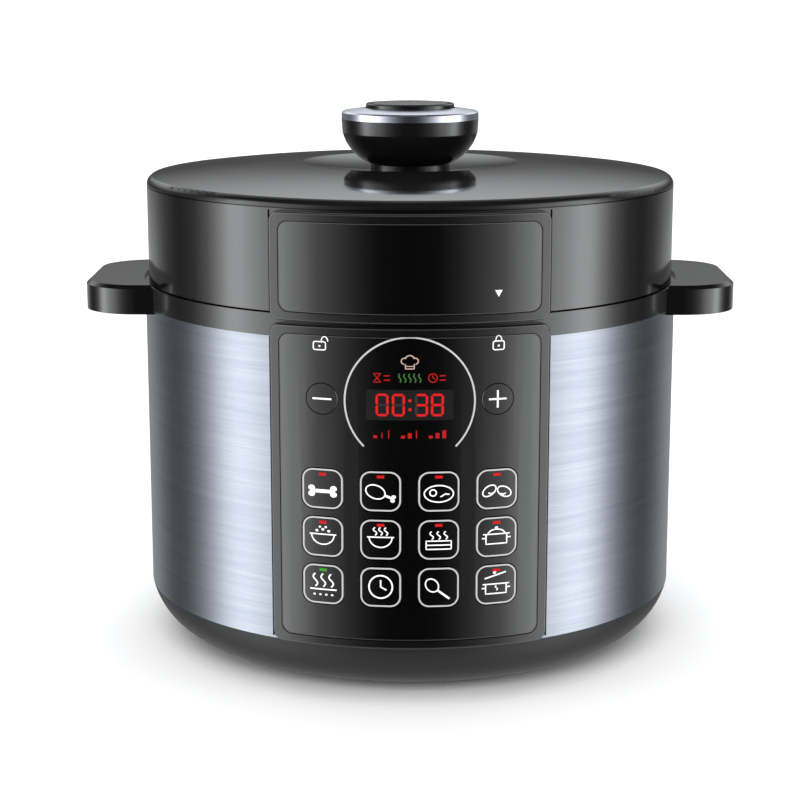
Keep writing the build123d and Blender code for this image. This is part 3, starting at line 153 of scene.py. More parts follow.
glow = around * wall_band * low_behind * 4 + back_box * 1.65 + ground + 0.006
seen = sky.node("ShaderNodeLightPath", output="Is Camera Ray")
strength = glow * (1 - seen) + seen * 0.98
background = sky.node("ShaderNodeBackground", None, {"Color": (0.97, 0.985, 1.0, 1), "Strength": strength})
sky.node("ShaderNodeOutputWorld", None, [background])

for light_name, turned_x, turned_z, energy, spread in (
    ("top_fill", 0, 0, 2.9, 100), ("front_fill", 68, -8, 1.9, 70),
):
    lamp = bpy.data.lights.new(light_name, "SUN")
    lamp.energy, lamp.angle = energy, math.radians(spread)
    sun = bpy.data.objects.new(light_name, lamp)
    sun.rotation_euler = (math.radians(turned_x), 0, math.radians(turned_z))
    sun.visible_glossy = False
    bpy.context.collection.objects.link(sun)

reach = 30
floor_mesh = bpy.data.meshes.new("studio_floor")
floor_mesh.from_pydata(
    [(-reach, -reach, 0), (reach, -reach, 0), (reach, reach, 0), (-reach, reach, 0)], [], [(0, 1, 2, 3)]
)
studio_floor = bpy.data.objects.new("studio_floor", floor_mesh)
bpy.context.collection.objects.link(studio_floor)
studio_floor.visible_glossy = False

film_width, lens_length = 36, 91.33
stand_back, eye_height = 1.150, 0.3727
look_down, look_left = math.radians(11.96), math.radians(0.282)
camera = bpy.data.objects.new("camera", bpy.data.cameras.new("camera"))
camera.data.sensor_width, camera.data.lens = film_width, lens_length
camera.location = (0, -stand_back, eye_height)
camera.rotation_euler = (math.radians(90) - look_down, 0, look_left)
bpy.context.collection.objects.link(camera)
bpy.context.scene.camera = camera
bpy.context.scene.view_settings.view_transform = "Standard"


def finish(name, build, **constants):
    """A material on one Principled shader. build adds what varies, constants are set as they are."""
    material = bpy.data.materials.new(name)
    material.use_nodes = True
    nodes = Nodes(material.node_tree)
    shader = material.node_tree.nodes["Principled BSDF"]
    for key, value in constants.items():
        shader.inputs[key.replace("_", " ")].default_value = value
    for key, value in build(nodes).items():
        nodes.tree.links.new(value.socket, shader.inputs[key])
    return material


def grain(nodes, size, stretch=(1, 1, 1), detail=4.0, roughness=0.6):
    """Noise whose patches are about one size across, drawn out along an axis by stretch."""
    place = nodes.node("ShaderNodeTexCoord", output="Object")
    scaled = nodes.node(
        "ShaderNodeVectorMath", {"operation": "MULTIPLY"}, [place, tuple(1 / (size * s) for s in stretch)]
    )
    return nodes.node(
        "ShaderNodeTexNoise", None, {"Vector": scaled, "Scale": 1.0, "Detail": detail, "Roughness": roughness}
    )


def tint(nodes, amount, dark, light):
    """A colour between two, by an amount from 0 to 1."""
    return nodes.node(
        "ShaderNodeMix", {"data_type": "RGBA"}, {0: amount, 6: (*dark, 1), 7: (*light, 1)}, output=2
    )


def relief(nodes, height, depth, strength=1.0):
    """A surface normal from a height between 0 and 1 and a depth in metres."""
    return nodes.node(
        "ShaderNodeBump", None, {"Strength": strength, "Distance": depth, "Height": height}
    )


def give(material, *names):
    """Puts a material on pieces of the frame, which keep their own shape."""
    for name in names:
        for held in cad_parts[name].material_slots:
            held.material = material


def pale_sweep(nodes):
    return {"Base Color": tint(nodes, grain(nodes, 0.4), (0.86, 0.86, 0.865), (0.90, 0.90, 0.90))}


floor_mesh.materials.append(finish("pale_floor", pale_sweep, Roughness=0.9))


# ---------------------------------------------------------------- foot ring and base
# Black polypropylene base with a fine spark-eroded grain, standing on a rubber ring that is
# pushed into a groove. A vented plate closes the middle.
def moulded(nodes, colour=0.014, rough=0.34, size=0.35 * mm, depth=0.012 * mm):
    fine, broad = grain(nodes, size), grain(nodes, 30 * mm)
    return {
        "Base Color": tint(nodes, broad, (colour * 0.85,) * 3, (colour * 1.15,) * 3),
        "Roughness": rough - 0.05 + fine * 0.06 + broad * 0.05,
        "Normal": relief(nodes, fine, depth),
    }


base_plastic = finish(
    "base_plastic", lambda n: moulded(n, 0.0105, 0.46, 0.4 * mm, 0.02 * mm), IOR=1.45
)
give(base_plastic, "base_housing", "bottom_cover", "power_inlet")


def rubber(nodes):
    fine = grain(nodes, 0.25 * mm)
    return {
        "Base Color": tint(nodes, fine, (0.014, 0.014, 0.014), (0.03, 0.03, 0.029)),
        "Roughness": 0.62 + fine * 0.25,
        "Normal": relief(nodes, fine, 0.04 * mm),
    }


give(finish("foot_rubber", rubber), "foot_ring")


# ---------------------------------------------------------------- screws
# Zinc plated steel. Screws hold the cover plate, the control board and the knob, tie screws
# clamp the well to the base, and nuts hold the pressure lid to its cover.
def zinc(nodes):
    cloud, fine = grain(nodes, 2 * mm), grain(nodes, 0.15 * mm)
    return {
        "Base Color": tint(nodes, cloud, (0.50, 0.50, 0.49), (0.66, 0.655, 0.62)),
        "Roughness": 0.28 + cloud * 0.15,
        "Normal": relief(nodes, fine, 0.01 * mm),
    }


zinc_plate = finish("zinc_plate", zinc, Metallic=1.0)
give(zinc_plate, "bottom_screws", "panel_screws", "tie_screws", "lid_nuts", "knob_screws")


# ---------------------------------------------------------------- heating plate and well
# Cast aluminium plate turned flat on a lathe, in a well drawn from steel sheet. A sprung
# sensor capsule stands in its middle, and a spring steel plate carries it from below.
def tool_marks(nodes, pitch):
    """Fine rings about the axis, as a lathe tool leaves them."""
    x, y = (
        nodes.node("ShaderNodeSeparateXYZ", None, [nodes.node("ShaderNodeTexCoord", output="Object")], i)
        for i in (0, 1)
    )
    radius = (x * x + y * y) ** 0.5
    return nodes.node(
        "ShaderNodeTexNoise", {"noise_dimensions": "1D"}, {"W": radius / pitch, "Scale": 1.0, "Detail": 3.0}
    )


def turned_face(nodes):
    rings = tool_marks(nodes, 0.35 * mm)
    cloud = grain(nodes, 14 * mm)
    return {
        "Base Color": tint(nodes, cloud, (0.58, 0.58, 0.59), (0.74, 0.74, 0.75)),
        "Roughness": 0.26 + rings * 0.22,
        "Normal": relief(nodes, rings, 0.03 * mm),
    }


give(finish("turned_aluminium", turned_face, Metallic=1.0), "heating_plate", "temperature_sensor")


def drawn_steel(nodes, dark=(0.50, 0.50, 0.50), light=(0.64, 0.64, 0.63)):
    drag, cloud = grain(nodes, 0.2 * mm, (60, 60, 1)), grain(nodes, 20 * mm)
    return {
        "Base Color": tint(nodes, drag * 0.6 + cloud * 0.4, dark, light),
        "Roughness": 0.20 + drag * 0.16 + cloud * 0.06,
        "Normal": relief(nodes, drag, 0.004 * mm),
    }


pressed_steel = finish("pressed_steel", drawn_steel, Metallic=1.0)
give(pressed_steel, "outer_pot", "sensor_bracket", "pressure_lid", "steam_shield")
spring_steel = finish(
    "spring_steel", lambda n: drawn_steel(n, (0.34, 0.33, 0.32), (0.48, 0.47, 0.45)), Metallic=1.0
)
give(spring_steel, "spring_plate", "sensor_spring", "vent_button_spring")


# ---------------------------------------------------------------- electrics in the base
# Glass fibre boards with tinned tracks, a nylon pressure switch and a silicone sleeved
# thermal fuse, joined by a loom in woven sleeving.
def circuit_board(nodes):
    place = nodes.node("ShaderNodeTexCoord", output="Object")
    cells = nodes.node(
        "ShaderNodeTexVoronoi", {"feature": "DISTANCE_TO_EDGE"},
        {"Vector": place, "Scale": 1 / (4.5 * mm), "Randomness": 0.55},
    )
    track = 1 - nodes.smooth(cells, 0.05, 0.09)
    weave = grain(nodes, 0.5 * mm)
    return {
        "Base Color": tint(nodes, track, (0.012, 0.085, 0.03), (0.05, 0.22, 0.07)),
        "Roughness": 0.30 + weave * 0.12,
        "Normal": relief(nodes, track + weave * 0.1, 0.05 * mm),
    }


give(finish("solder_mask", circuit_board, Coat_Weight=0.3), "power_board", "control_board")


def white_moulding(nodes):
    fine, broad = grain(nodes, 0.3 * mm), grain(nodes, 8 * mm)
    return {
        "Base Color": tint(nodes, broad, (0.70, 0.69, 0.64), (0.80, 0.79, 0.75)),
        "Roughness": 0.38 + fine * 0.14,
        "Normal": relief(nodes, fine, 0.015 * mm),
    }


white_nylon = finish("white_nylon", white_moulding, Subsurface_Weight=0.1, Subsurface_Scale=0.001)
give(white_nylon, "pressure_switch", "valve_rocker")


def sleeving(nodes):
    place = nodes.node("ShaderNodeTexCoord", output="Object")
    weave = nodes.node(
        "ShaderNodeTexWave", {"bands_direction": "DIAGONAL"},
        {"Vector": place, "Scale": 420.0, "Distortion": 1.5},
    )
    return {
        "Base Color": tint(nodes, weave, (0.03, 0.03, 0.032), (0.11, 0.11, 0.115)),
        "Roughness": 0.55 + weave * 0.2,
        "Normal": relief(nodes, weave, 0.08 * mm),
    }


give(finish("woven_sleeve", sleeving), "wiring")


# ---------------------------------------------------------------- steel band
# Stainless strip brushed along its length, rolled to a tube and tucked under the black
# mouldings above and below. The brushing runs level round the body.
def brushed(nodes):
    long_lines = grain(nodes, 0.22 * mm, (160, 160, 1), 6.0, 0.7)
    bands = grain(nodes, 3.2 * mm, (40, 40, 1), 3.0)
    tone = long_lines * 0.62 + bands * 0.38
    return {
        "Base Color": tint(nodes, nodes.smooth(tone, 0.28, 0.74), (0.225, 0.245, 0.285), (0.335, 0.355, 0.395)),
        "Roughness": 0.27 + long_lines * 0.16,
        "Normal": relief(nodes, long_lines, 0.006 * mm),
    }


give(
    finish("brushed_band", brushed, Metallic=1.0, Anisotropic=0.55, Anisotropic_Rotation=0.25), "outer_shell"
)


# ---------------------------------------------------------------- upper ring and handles
# Satin black moulding that caps the band and carries both handles. The lid's wall is the
# same plastic, so the two share one finish.
satin_black = finish(
    "satin_black", lambda n: moulded(n, 0.0035, 0.135, 0.3 * mm, 0.003 * mm), IOR=1.75
)
give(satin_black, "upper_ring", "lid_skirt")


# ---------------------------------------------------------------- control panel
# A curved satin frame with a glossy inlay, printed white from behind. Every mark is a thin
# ink line that lies on the curved face, so it is drawn flat and then laid on.
frame_black = finish(
    "panel_frame_black", lambda n: moulded(n, 0.004, 0.13, 0.3 * mm, 0.003 * mm), IOR=1.75
)
give(frame_black, "control_panel_frame", "lid_fascia_frame")


def lacquer(nodes, colour=0.0009, rough=0.07):
    haze, dust = grain(nodes, 40 * mm), grain(nodes, 0.6 * mm)
    return {
        "Base Color": tint(nodes, haze, (colour * 0.8,) * 3, (colour * 1.2,) * 3),
        "Roughness": rough + haze * 0.03 + nodes.smooth(dust, 0.62, 0.8) * 0.03,
    }


inlay_gloss = finish("inlay_gloss", lacquer, IOR=2.05)
give(inlay_gloss, "control_panel_inlay", "lid_fascia_inlay")
key_gloss = finish("key_gloss", lambda n: lacquer(n, 0.0009, 0.075), IOR=2.05)
give(key_gloss, *[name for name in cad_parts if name.startswith("key_")])
give(finish("display_smoke", lambda n: lacquer(n, 0.0105, 0.16), IOR=1.5), "display_module")


def ink(nodes, colour):
    speckle = grain(nodes, 0.12 * mm)
    return {
        "Base Color": tint(nodes, speckle, tuple(c * 0.86 for c in colour), colour),
        "Roughness": 0.42 + speckle * 0.15,
    }


def lit(nodes, colour):
    speckle = grain(nodes, 0.4 * mm)
    return {
        "Base Color": tint(nodes, speckle, tuple(c * 0.12 for c in colour), tuple(c * 0.2 for c in colour)),
        "Emission Color": tint(nodes, speckle, tuple(c * 0.85 for c in colour), colour),
    }


def ink_with_painted_glow(name, colour, glow, strength):
    """A printed ink with a faint painted glow, which keeps it clear on the dark gloss."""
    return finish(name, lambda n: ink(n, colour), Emission_Color=(*glow, 1), Emission_Strength=strength)


def lamp_finish(name, colour, strength):
    """A lit sign or lamp under the smoked face."""
    return finish(
        name, lambda n: lit(n, colour), Roughness=0.5, Emission_Strength=strength, Specular_IOR_Level=0.2
    )


# Print colours, each with a painted glow though the print is no lamp
white_ink_and_painted_glow = ink_with_painted_glow("white_ink_and_painted_glow", (0.82, 0.82, 0.82), (1, 1, 1), 0.16)
outline_ink_and_painted_glow = ink_with_painted_glow("outline_ink_and_painted_glow", (0.40, 0.40, 0.40), (1, 1, 1), 0.10)
beige_ink_and_painted_glow = ink_with_painted_glow("beige_ink_and_painted_glow", (0.46, 0.31, 0.25), (1, 0.75, 0.6), 0.08)
red_lamp = lamp_finish("red_lamp", (1.0, 0.004, 0.005), 0.55)
sign_lamp = lamp_finish("sign_lamp", (1.0, 0.006, 0.008), 0.36)
digit_lamp = lamp_finish("digit_lamp", (1.0, 0.008, 0.009), 0.62)
green_lamp = lamp_finish("green_lamp", (0.06, 0.55, 0.035), 0.55)
green_sign = lamp_finish("green_sign", (0.10, 0.36, 0.07), 0.35)


def line(*points, width=0.6, closed=False):
    """A stroke through points, cut fine enough to follow the curved face."""
    laps = list(points) + ([points[0]] if closed else [])
    path = [laps[0]]
    for (x0, z0), (x1, z1) in zip(laps, laps[1:]):
        cuts = max(1, math.ceil(math.hypot(x1 - x0, z1 - z0) / 1.5))
        path += [(x0 + (x1 - x0) * i / cuts, z0 + (z1 - z0) * i / cuts) for i in range(1, cuts + 1)]
    if closed:
        path.pop()
    return [(path, [width] * len(path), closed)]


def oval(x, z, rx, rz=None, start=0, sweep=360, tilt=0, width=0.6):
    """An arc or a whole ellipse."""
    rz = rz or rx
    steps = max(8, math.ceil(abs(sweep) / 360 * max(14, 5 * max(rx, rz))))
    closed = abs(sweep) >= 360
    points = []
    lean = math.radians(tilt)
    for i in range(steps if closed else steps + 1):
        angle = math.radians(start + sweep * i / steps)
        u, v = rx * math.cos(angle), rz * math.sin(angle)
        points.append((
            x + u * math.cos(lean) - v * math.sin(lean), z + u * math.sin(lean) + v * math.cos(lean)
        ))
    return [(points, [width] * len(points), closed)]


def dot(x, z, r):
    """A filled round spot."""
    across = [math.cos(math.pi * i / 8) for i in range(9)]
    widths = [2 * r * math.sqrt(max(0.01, 1 - c * c)) for c in across]
    return [([(x - r * c, z) for c in across], widths, False)]


def bar(x0, z0, x1, z1, width, point=0.0):
    """A filled bar, with pointed ends where point is given."""
    length = math.hypot(x1 - x0, z1 - z0)
    cuts = max(1, math.ceil(length / 1.5))
    at, wide = [length * i / cuts for i in range(cuts + 1)], [width] * (cuts + 1)
    if point:
        at = [0, point / 2, point, length - point, length - point / 2, length]
        wide = [width * 0.1, width * 0.6, width, width, width * 0.6, width * 0.1]
    return [([(x0 + (x1 - x0) * a / length, z0 + (z1 - z0) * a / length) for a in at], wide, False)]


def wave(x, z, height, swing=0.7, width=0.6):
    """A rising wisp of steam."""
    count = 10
    points = [
        (x + swing * math.sin(2 * math.pi * i / count), z - height / 2 + height * i / count)
        for i in range(count + 1)
    ]
    return [(points, [width] * len(points), False)]


def new_tree(name, **inputs):
    """An empty geometry tree with named inputs, and the values that come in through them."""
    tree = bpy.data.node_groups.new(name, "GeometryNodeTree")
    named = [("Geometry", "Geometry")] + [(key.replace("_", " "), kind) for key, kind in inputs.items()]
    for key, kind in named:
        tree.interface.new_socket(key, in_out="INPUT", socket_type="NodeSocket" + kind)
    tree.interface.new_socket("Geometry", in_out="OUTPUT", socket_type="NodeSocketGeometry")
    nodes, given = Nodes(tree), tree.nodes.new("NodeGroupInput")
    return nodes, [Value(nodes, given.outputs[i]) for i in range(len(named))]


def ink_tree():
    """Geometry nodes that turn strokes into a thin skin on the panel's round face."""
    nodes, given = new_tree("laid_on_ink", Face_radius="Float", Ink_height="Float", Ink="Material")
    strokes, radius, height, material = given
    profile = nodes.node("GeometryNodeCurvePrimitiveCircle", None, {"Resolution": 10, "Radius": 1.0})
    width = nodes.node("GeometryNodeInputRadius")
    sized = {"Curve": strokes, "Profile Curve": profile, "Scale": width, "Fill Caps": True}
    skin = nodes.node("GeometryNodeCurveToMesh", None, sized)
    at = nodes.node("GeometryNodeInputPosition")
    x, y, z = (nodes.node("ShaderNodeSeparateXYZ", None, [at], i) for i in range(3))
    face = (radius * radius - x * x) ** 0.5
    flatness = 0.35
    proud = (y * flatness).maths("MINIMUM", height).maths("MAXIMUM", height * -1)
    placed = nodes.node("ShaderNodeCombineXYZ", None, [x, proud - face, z])
    laid = nodes.node("GeometryNodeSetPosition", None, {"Geometry": skin, "Position": placed})
    real = nodes.node("GeometryNodeRealizeInstances", None, [laid])
    done = nodes.node("GeometryNodeSetMaterial", None, {"Geometry": real, "Material": material})
    nodes.node("NodeGroupOutput", None, [done])
    return nodes.tree


laid_on_ink = ink_tree()


def run_tree(tree, source, settings):
    """Runs a tree on an object and returns the plain mesh that it makes."""
    modifier = source.modifiers.new("make", "NODES")
    modifier.node_group = tree
    sockets = {item.name: item.identifier for item in tree.interface.items_tree if item.in_out == "INPUT"}
    for name, value in settings.items():
        modifier[sockets[name]] = value
    held = source.evaluated_get(bpy.context.evaluated_depsgraph_get())
    mesh = bpy.data.meshes.new_from_object(held)
    source.modifiers.remove(modifier)
    return mesh


def as_object(name, mesh, material, body):
    """Puts a finished mesh in the scene as a piece that rides on a body."""
    piece = bpy.data.objects.new(name, mesh)
    bpy.context.collection.objects.link(piece)
    if not mesh.materials:
        mesh.materials.append(material)
    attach(piece, body)
    return piece


def printed(name, strokes, material, face_radius, body="root", slot="black_glass", x=0.0, z=0.0):
    """Marks on a round face, from strokes in millimetres about a centre."""
    curve = bpy.data.curves.new(name + "_strokes", "CURVE")
    curve.dimensions = "3D"
    for path, widths, closed in strokes:
        spline = curve.splines.new("POLY")
        spline.points.add(len(path) - 1)
        spline.use_cyclic_u = closed
        for point, (px, pz), wide in zip(spline.points, path, widths):
            point.co = ((x + px) * mm, 0, (z + pz) * mm, 1)
            point.radius = wide / 2 * mm
    source = bpy.data.objects.new(name + "_strokes", curve)
    bpy.context.collection.objects.link(source)
    settings = {"Face radius": face_radius * mm, "Ink height": 0.03 * mm, "Ink": material}
    mesh = run_tree(laid_on_ink, source, settings)
    bpy.data.objects.remove(source)
    mesh.name = name
    mesh.shade_smooth()
    return as_object(name, mesh, material, body)


def centre(node):
    """The middle of a node's front outline, in millimetres."""
    low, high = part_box(node)
    return (low[0] + high[0]) / 2 / mm, (low[2] + high[2]) / 2 / mm


# Radii of the printed faces, and a key's outline, in millimetres
inlay_face, key_face, lens_face, frame_face = 154.6, 154.7, 154.3, 155.0
key_side, key_corner, outline_width = 21.5, 6.0, 0.85
window_x, window_z = centre("display_module")


def rounded(side, corner, width):
    """A square outline with round corners."""
    points = []
    for sx, sz, start in ((1, 1, 0), (-1, 1, 90), (-1, -1, 180), (1, -1, 270)):
        cx, cz = sx * (side / 2 - corner), sz * (side / 2 - corner)
        for i in range(9):
            angle = math.radians(start + 11.25 * i)
            points.append((cx + corner * math.cos(angle), cz + corner * math.sin(angle)))
    return line(*points, width=width, closed=True)


def moved(strokes, dx, dz):
    """The same strokes in another place."""
    return [([(px + dx, pz + dz) for px, pz in path], widths, closed) for path, widths, closed in strokes]


bowl = oval(0, 0.6, 4.6, 4.2, 180, 180) + line((-5.4, 0.6), (5.4, 0.6))
pot_sign = (
    line((-4.2, 0.8), (-4.2, -3.2), (4.2, -3.2), (4.2, 0.8)) + line((-5.4, 0.8), (5.4, 0.8))
    + line((-5.8, -0.8), (-4.4, -0.8)) + line((4.4, -0.8), (5.8, -0.8))
)
key_signs = {
    "key_01": bar(-3.9, -1.4, 3.9, -1.4, 1.7) + dot(-4.4, -0.2, 1.35) + dot(-4.4, -2.6, 1.35)
    + dot(4.4, -0.2, 1.35) + dot(4.4, -2.6, 1.35),
    "key_02": oval(-2.0, -0.6, 4.0, 2.7, tilt=-20) + bar(1.7, -2.0, 5.0, -3.3, 1.1) + dot(5.2, -2.6, 0.9)
    + dot(4.8, -4.1, 0.9),
    "key_03": oval(0, -1.3, 5.8, 3.4) + oval(-2.3, -0.9, 1.3) + line((0.6, -2.6), (2.6, -1.4), (4.2, -1.6)),
    "key_04": oval(-3.0, -1.0, 3.0, 1.9, tilt=35) + oval(3.0, -1.6, 3.0, 1.9, tilt=-30)
    + oval(-2.4, -1.5, 1.0, 0.7, 200, 150) + oval(2.6, -2.0, 1.0, 0.7, 190, 150),
    "key_05": bowl + dot(-2.4, 2.0, 0.62) + dot(0, 2.6, 0.62) + dot(2.4, 2.0, 0.62)
    + dot(-1.2, 3.6, 0.5) + dot(1.2, 3.6, 0.5),
    "key_06": bowl + wave(-2.2, 3.0, 3.2) + wave(0, 3.0, 3.2) + wave(2.2, 3.0, 3.2),
    "key_07": line((-5.0, -0.9), (-5.0, -4.3), (5.0, -4.3), (5.0, -0.9), width=0.6, closed=True)
    + line((-4.9, -2.6), (4.9, -2.6)) + wave(-2.8, 1.4, 3.2) + wave(0, 1.4, 3.2) + wave(2.8, 1.4, 3.2),
    "key_08": pot_sign + oval(0, 0.8, 3.4, 2.0, 0, 180) + dot(0, 3.4, 0.65),
    "key_09": wave(-3.2, 1.2, 5.4, 0.9, 0.7) + wave(0, 1.2, 5.4, 0.9, 0.7) + wave(3.2, 1.2, 5.4, 0.9, 0.7)
    + line((-5.4, -2.6), (5.4, -2.6), width=0.7)
    + dot(-3.6, -4.8, 0.5) + dot(-1.2, -4.8, 0.5) + dot(1.2, -4.8, 0.5) + dot(3.6, -4.8, 0.5),
    "key_10": oval(0, -0.2, 4.7, width=0.7) + line((0, 2.6), (0, -0.2), (2.3, -1.5), width=0.7),
    "key_11": oval(-2.6, 0.5, 2.4, 3.0, tilt=40) + bar(-0.6, -1.4, 4.4, -5.2, 0.95),
    "key_12": moved(pot_sign, 0, -1.0)
    + line((-4.6, 2.2), (4.0, 4.6), width=0.7) + dot(-0.6, 4.5, 0.65) + wave(0.2, -1.9, 2.0, 0.5, 0.5),
}


def larger(strokes, scale, lift):
    """The same strokes drawn larger, with lines of nearly the same width."""
    thicker = 1 + (scale - 1) * 0.6
    return [
        ([(px * scale, pz * scale + lift) for px, pz in path], [w * thicker for w in widths], closed)
        for path, widths, closed in strokes
    ]


# The clock and the spoon carry no lamp, and keep-warm has a green one
lamp_colours = {node: red_lamp for node in key_signs if node not in ("key_10", "key_11")}
lamp_colours["key_09"] = green_lamp
key_outline = rounded(key_side - outline_width - 0.7, key_corner - 0.9, outline_width)
key_lamp = bar(-1.9, 7.6, 1.9, 7.6, 1.5)
for node, sign in key_signs.items():
    x, z = centre(node)
    common = {"face_radius": key_face, "body": node, "slot": "key_cap", "x": x, "z": z}
    printed(node + "_outline", key_outline, outline_ink_and_painted_glow, **common)
    printed(node + "_sign", larger(sign, 1.28, 0.5), white_ink_and_painted_glow, **common)
    if node in lamp_colours:
        printed(node + "_lamp", key_lamp, lamp_colours[node], **common)

x, z = centre("key_minus")
printed("key_minus_sign", bar(-4.85, 0, 4.85, 0, 0.95), white_ink_and_painted_glow, key_face, "key_minus", "key_cap", x, z)
x, z = centre("key_plus")
plus_sign = bar(-4.5, 0, 4.5, 0, 0.95) + bar(0, -4.5, 0, 4.5, 0.95)
printed("key_plus_sign", plus_sign, white_ink_and_painted_glow, key_face, "key_plus", "key_cap", x, z)


# Painted highlight along the polished edge of each inlay and along each frame's rim, and painted shade on the
# wall beside the frames
def edge_of(node, inset, corner):
    """A node's front outline with round corners, moved in by inset."""
    low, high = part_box(node)
    x1, z0, z1 = high[0] / mm - inset, low[2] / mm + inset, high[2] / mm - inset
    points = []
    top, bottom = z1 - corner, z0 + corner
    for sx, cz, start in ((1, top, 0), (-1, top, 90), (-1, bottom, 180), (1, bottom, 270)):
        for i in range(7):
            angle = math.radians(start + 15 * i)
            points.append((sx * (x1 - corner) + corner * math.cos(angle), cz + corner * math.sin(angle)))
    return points


# Painted highlight: a lighter line on the polished edge of each inlay
painted_edge_highlight = finish("painted_edge_highlight", lambda n: lacquer(n, 0.035, 0.30), IOR=1.9)
panel_edge, fascia_edge = edge_of("control_panel_inlay", 0.3, 4.7), edge_of("lid_fascia_inlay", 0.3, 4.7)
printed("panel_edge_glint", line(*panel_edge, width=0.42, closed=True), painted_edge_highlight, inlay_face)
printed("fascia_edge_glint", line(*fascia_edge, width=0.42, closed=True), painted_edge_highlight, inlay_face, "lid")

# Painted highlight: a lighter line along the rounded outer edge of each frame
painted_frame_highlight = finish("painted_frame_highlight", lambda n: moulded(n, 0.028, 0.22, 0.3 * mm, 0.003 * mm), IOR=1.8)
panel_rim, fascia_rim = edge_of("control_panel_frame", 0.75, 4.3), edge_of("lid_fascia_frame", 0.75, 4.3)
printed("panel_rim_glint", line(*panel_rim, width=0.5, closed=True), painted_frame_highlight, frame_face)
printed("fascia_rim_glint", line(*fascia_rim, width=0.5, closed=True), painted_frame_highlight, frame_face, "lid")
# Painted shade: a matt black strip on the wall along each side of each frame
painted_shade_black = finish("painted_shade_black", lambda n: moulded(n, 0.0012, 0.85), Specular_IOR_Level=0.1)
for name, wall_node, frame_node, body in (
    ("fascia_side_gap", "lid_skirt", "lid_fascia_frame", "lid"),
    ("panel_side_gap", "outer_shell", "control_panel_frame", "root"),
):
    (left, _, low), (right, _, high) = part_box(frame_node)
    wall_low, wall_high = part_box(wall_node)
    z0, z1 = max(low, wall_low[2]) / mm + 0.2, min(high, wall_high[2]) / mm - 0.2
    x0, x1 = left / mm - 0.35, right / mm + 0.35
    strokes = bar(x0, z0, x0, z1, 0.9) + bar(x1, z0, x1, z1, 0.9)
    printed(name, strokes, painted_shade_black, wall_high[0] / mm, body, "black_satin")

# Ring round the display, open at the bottom, and the cook's cap above it
printed("display_ring", oval(0, 160.8, 32.8, start=-45, sweep=270, width=0.95), outline_ink_and_painted_glow, inlay_face)
cap_sign = (
    oval(0, 182.6, 2.3, 1.9, 20, 140, width=0.55) + oval(-2.6, 181.6, 1.7, 1.6, 60, 200, width=0.55)
    + oval(2.6, 181.6, 1.7, 1.6, -80, 200, width=0.55)
    + line((-2.2, 180.2), (-2.2, 177.7), (2.2, 177.7), (2.2, 180.2), width=0.55)
    + line((-2.0, 179.0), (2.0, 179.0), width=0.4)
)
printed("cook_cap_sign", cap_sign, beige_ink_and_painted_glow, inlay_face)


def lock_sign(x, z, wide, tall, opened):
    """A padlock with a spot for its keyhole."""
    square = rounded(1, 0.2, 0.5)[0][0]
    case = [(x + px * wide, z - 0.16 * tall + pz * tall * 0.58) for px, pz in square]
    middle = x + (0.42 * wide if opened else 0)
    hoop = oval(middle, z + 0.16 * tall, wide * 0.27, tall * 0.34, 0, 180, width=0.55)
    if opened:
        free_end = middle - 0.27 * wide
        hoop += line((free_end, z + 0.16 * tall), (free_end, z + 0.06 * tall), width=0.55)
    return [(case, [0.62] * len(case), True)] + hoop + dot(x, z - 0.18 * tall, 0.55)


both_locks = lock_sign(-45.4, 189.4, 6.2, 7.2, True) + lock_sign(44.6, 189.8, 5.6, 7.6, False)
printed("lock_signs", both_locks, white_ink_and_painted_glow, inlay_face)

# Lit signs above and below the window
sign_row, level_row = 173.0, 142.0
clock = oval(0, 0, 2.2, width=0.5) + line((0, 1.4), (0, 0), (1.1, -0.6), width=0.5)
hourglass = line((-1.9, 2.2), (1.9, 2.2), (-1.9, -2.2), (1.9, -2.2), width=0.5, closed=True)
dash_pair = bar(3.4, 1.1, 6.4, 1.1, 0.6) + bar(3.4, -1.1, 6.4, -1.1, 0.6)
red_signs = moved(hourglass + dash_pair, -16.4, sign_row) + moved(clock + dash_pair, 11.6, sign_row)
printed("upper_red_signs", red_signs, sign_lamp, inlay_face)
wisps = [stroke for i in range(5) for stroke in wave(-5.0 + 2.5 * i, sign_row, 4.4, 0.6, 0.6)]
printed("upper_green_sign", wisps, green_sign, inlay_face)
level_bars = []
for group, lit_bars in ((-14.0, 1), (0.0, 2), (14.0, 3)):
    for i in range(3):
        x, tall = group - 3.4 + 3.4 * i, 1.5 + 1.3 * i
        level_bars += bar(x, level_row, x, level_row + tall, 1.9 if i < lit_bars else 0.5)
printed("lower_red_signs", level_bars, sign_lamp, inlay_face)

# Time on the display, in seven-segment digits behind the smoked lens
digit_w, digit_h, segment, segment_gap = 6.6, 11.7, 1.25, 0.18
hw, hh = digit_w / 2 - segment / 2, digit_h / 2 - segment / 2
segments = {
    "a": (-hw, hh, hw, hh), "b": (hw, hh, hw, 0), "c": (hw, 0, hw, -hh), "d": (-hw, -hh, hw, -hh),
    "e": (-hw, 0, -hw, -hh), "f": (-hw, hh, -hw, 0), "g": (-hw, 0, hw, 0),
}
shown = {"0": "abcdef", "3": "abcdg", "8": "abcdefg"}
lit_segments, dark_segments = [], []
for digit, place in zip("0038", (-13.9, -5.7, 5.9, 13.9)):
    for letter, (x0, z0, x1, z1) in segments.items():
        cut = segment_gap / math.hypot(x1 - x0, z1 - z0)
        ends = (x0 + (x1 - x0) * cut, z0 + (z1 - z0) * cut, x1 - (x1 - x0) * cut, z1 - (z1 - z0) * cut)
        strokes = moved(bar(*ends, segment, segment / 2), window_x + place, window_z)
        (lit_segments if letter in shown[digit] else dark_segments).extend(strokes)
lit_segments += dot(0.1, window_z + 2.3, 0.85) + dot(0.1, window_z - 2.3, 0.85)
printed("lit_digits", lit_segments, digit_lamp, lens_face, slot="display_block")
unlit = finish("unlit_segment", lambda n: ink(n, (0.03, 0.012, 0.012)))
printed("unlit_digits", dark_segments, unlit, lens_face, slot="display_block")
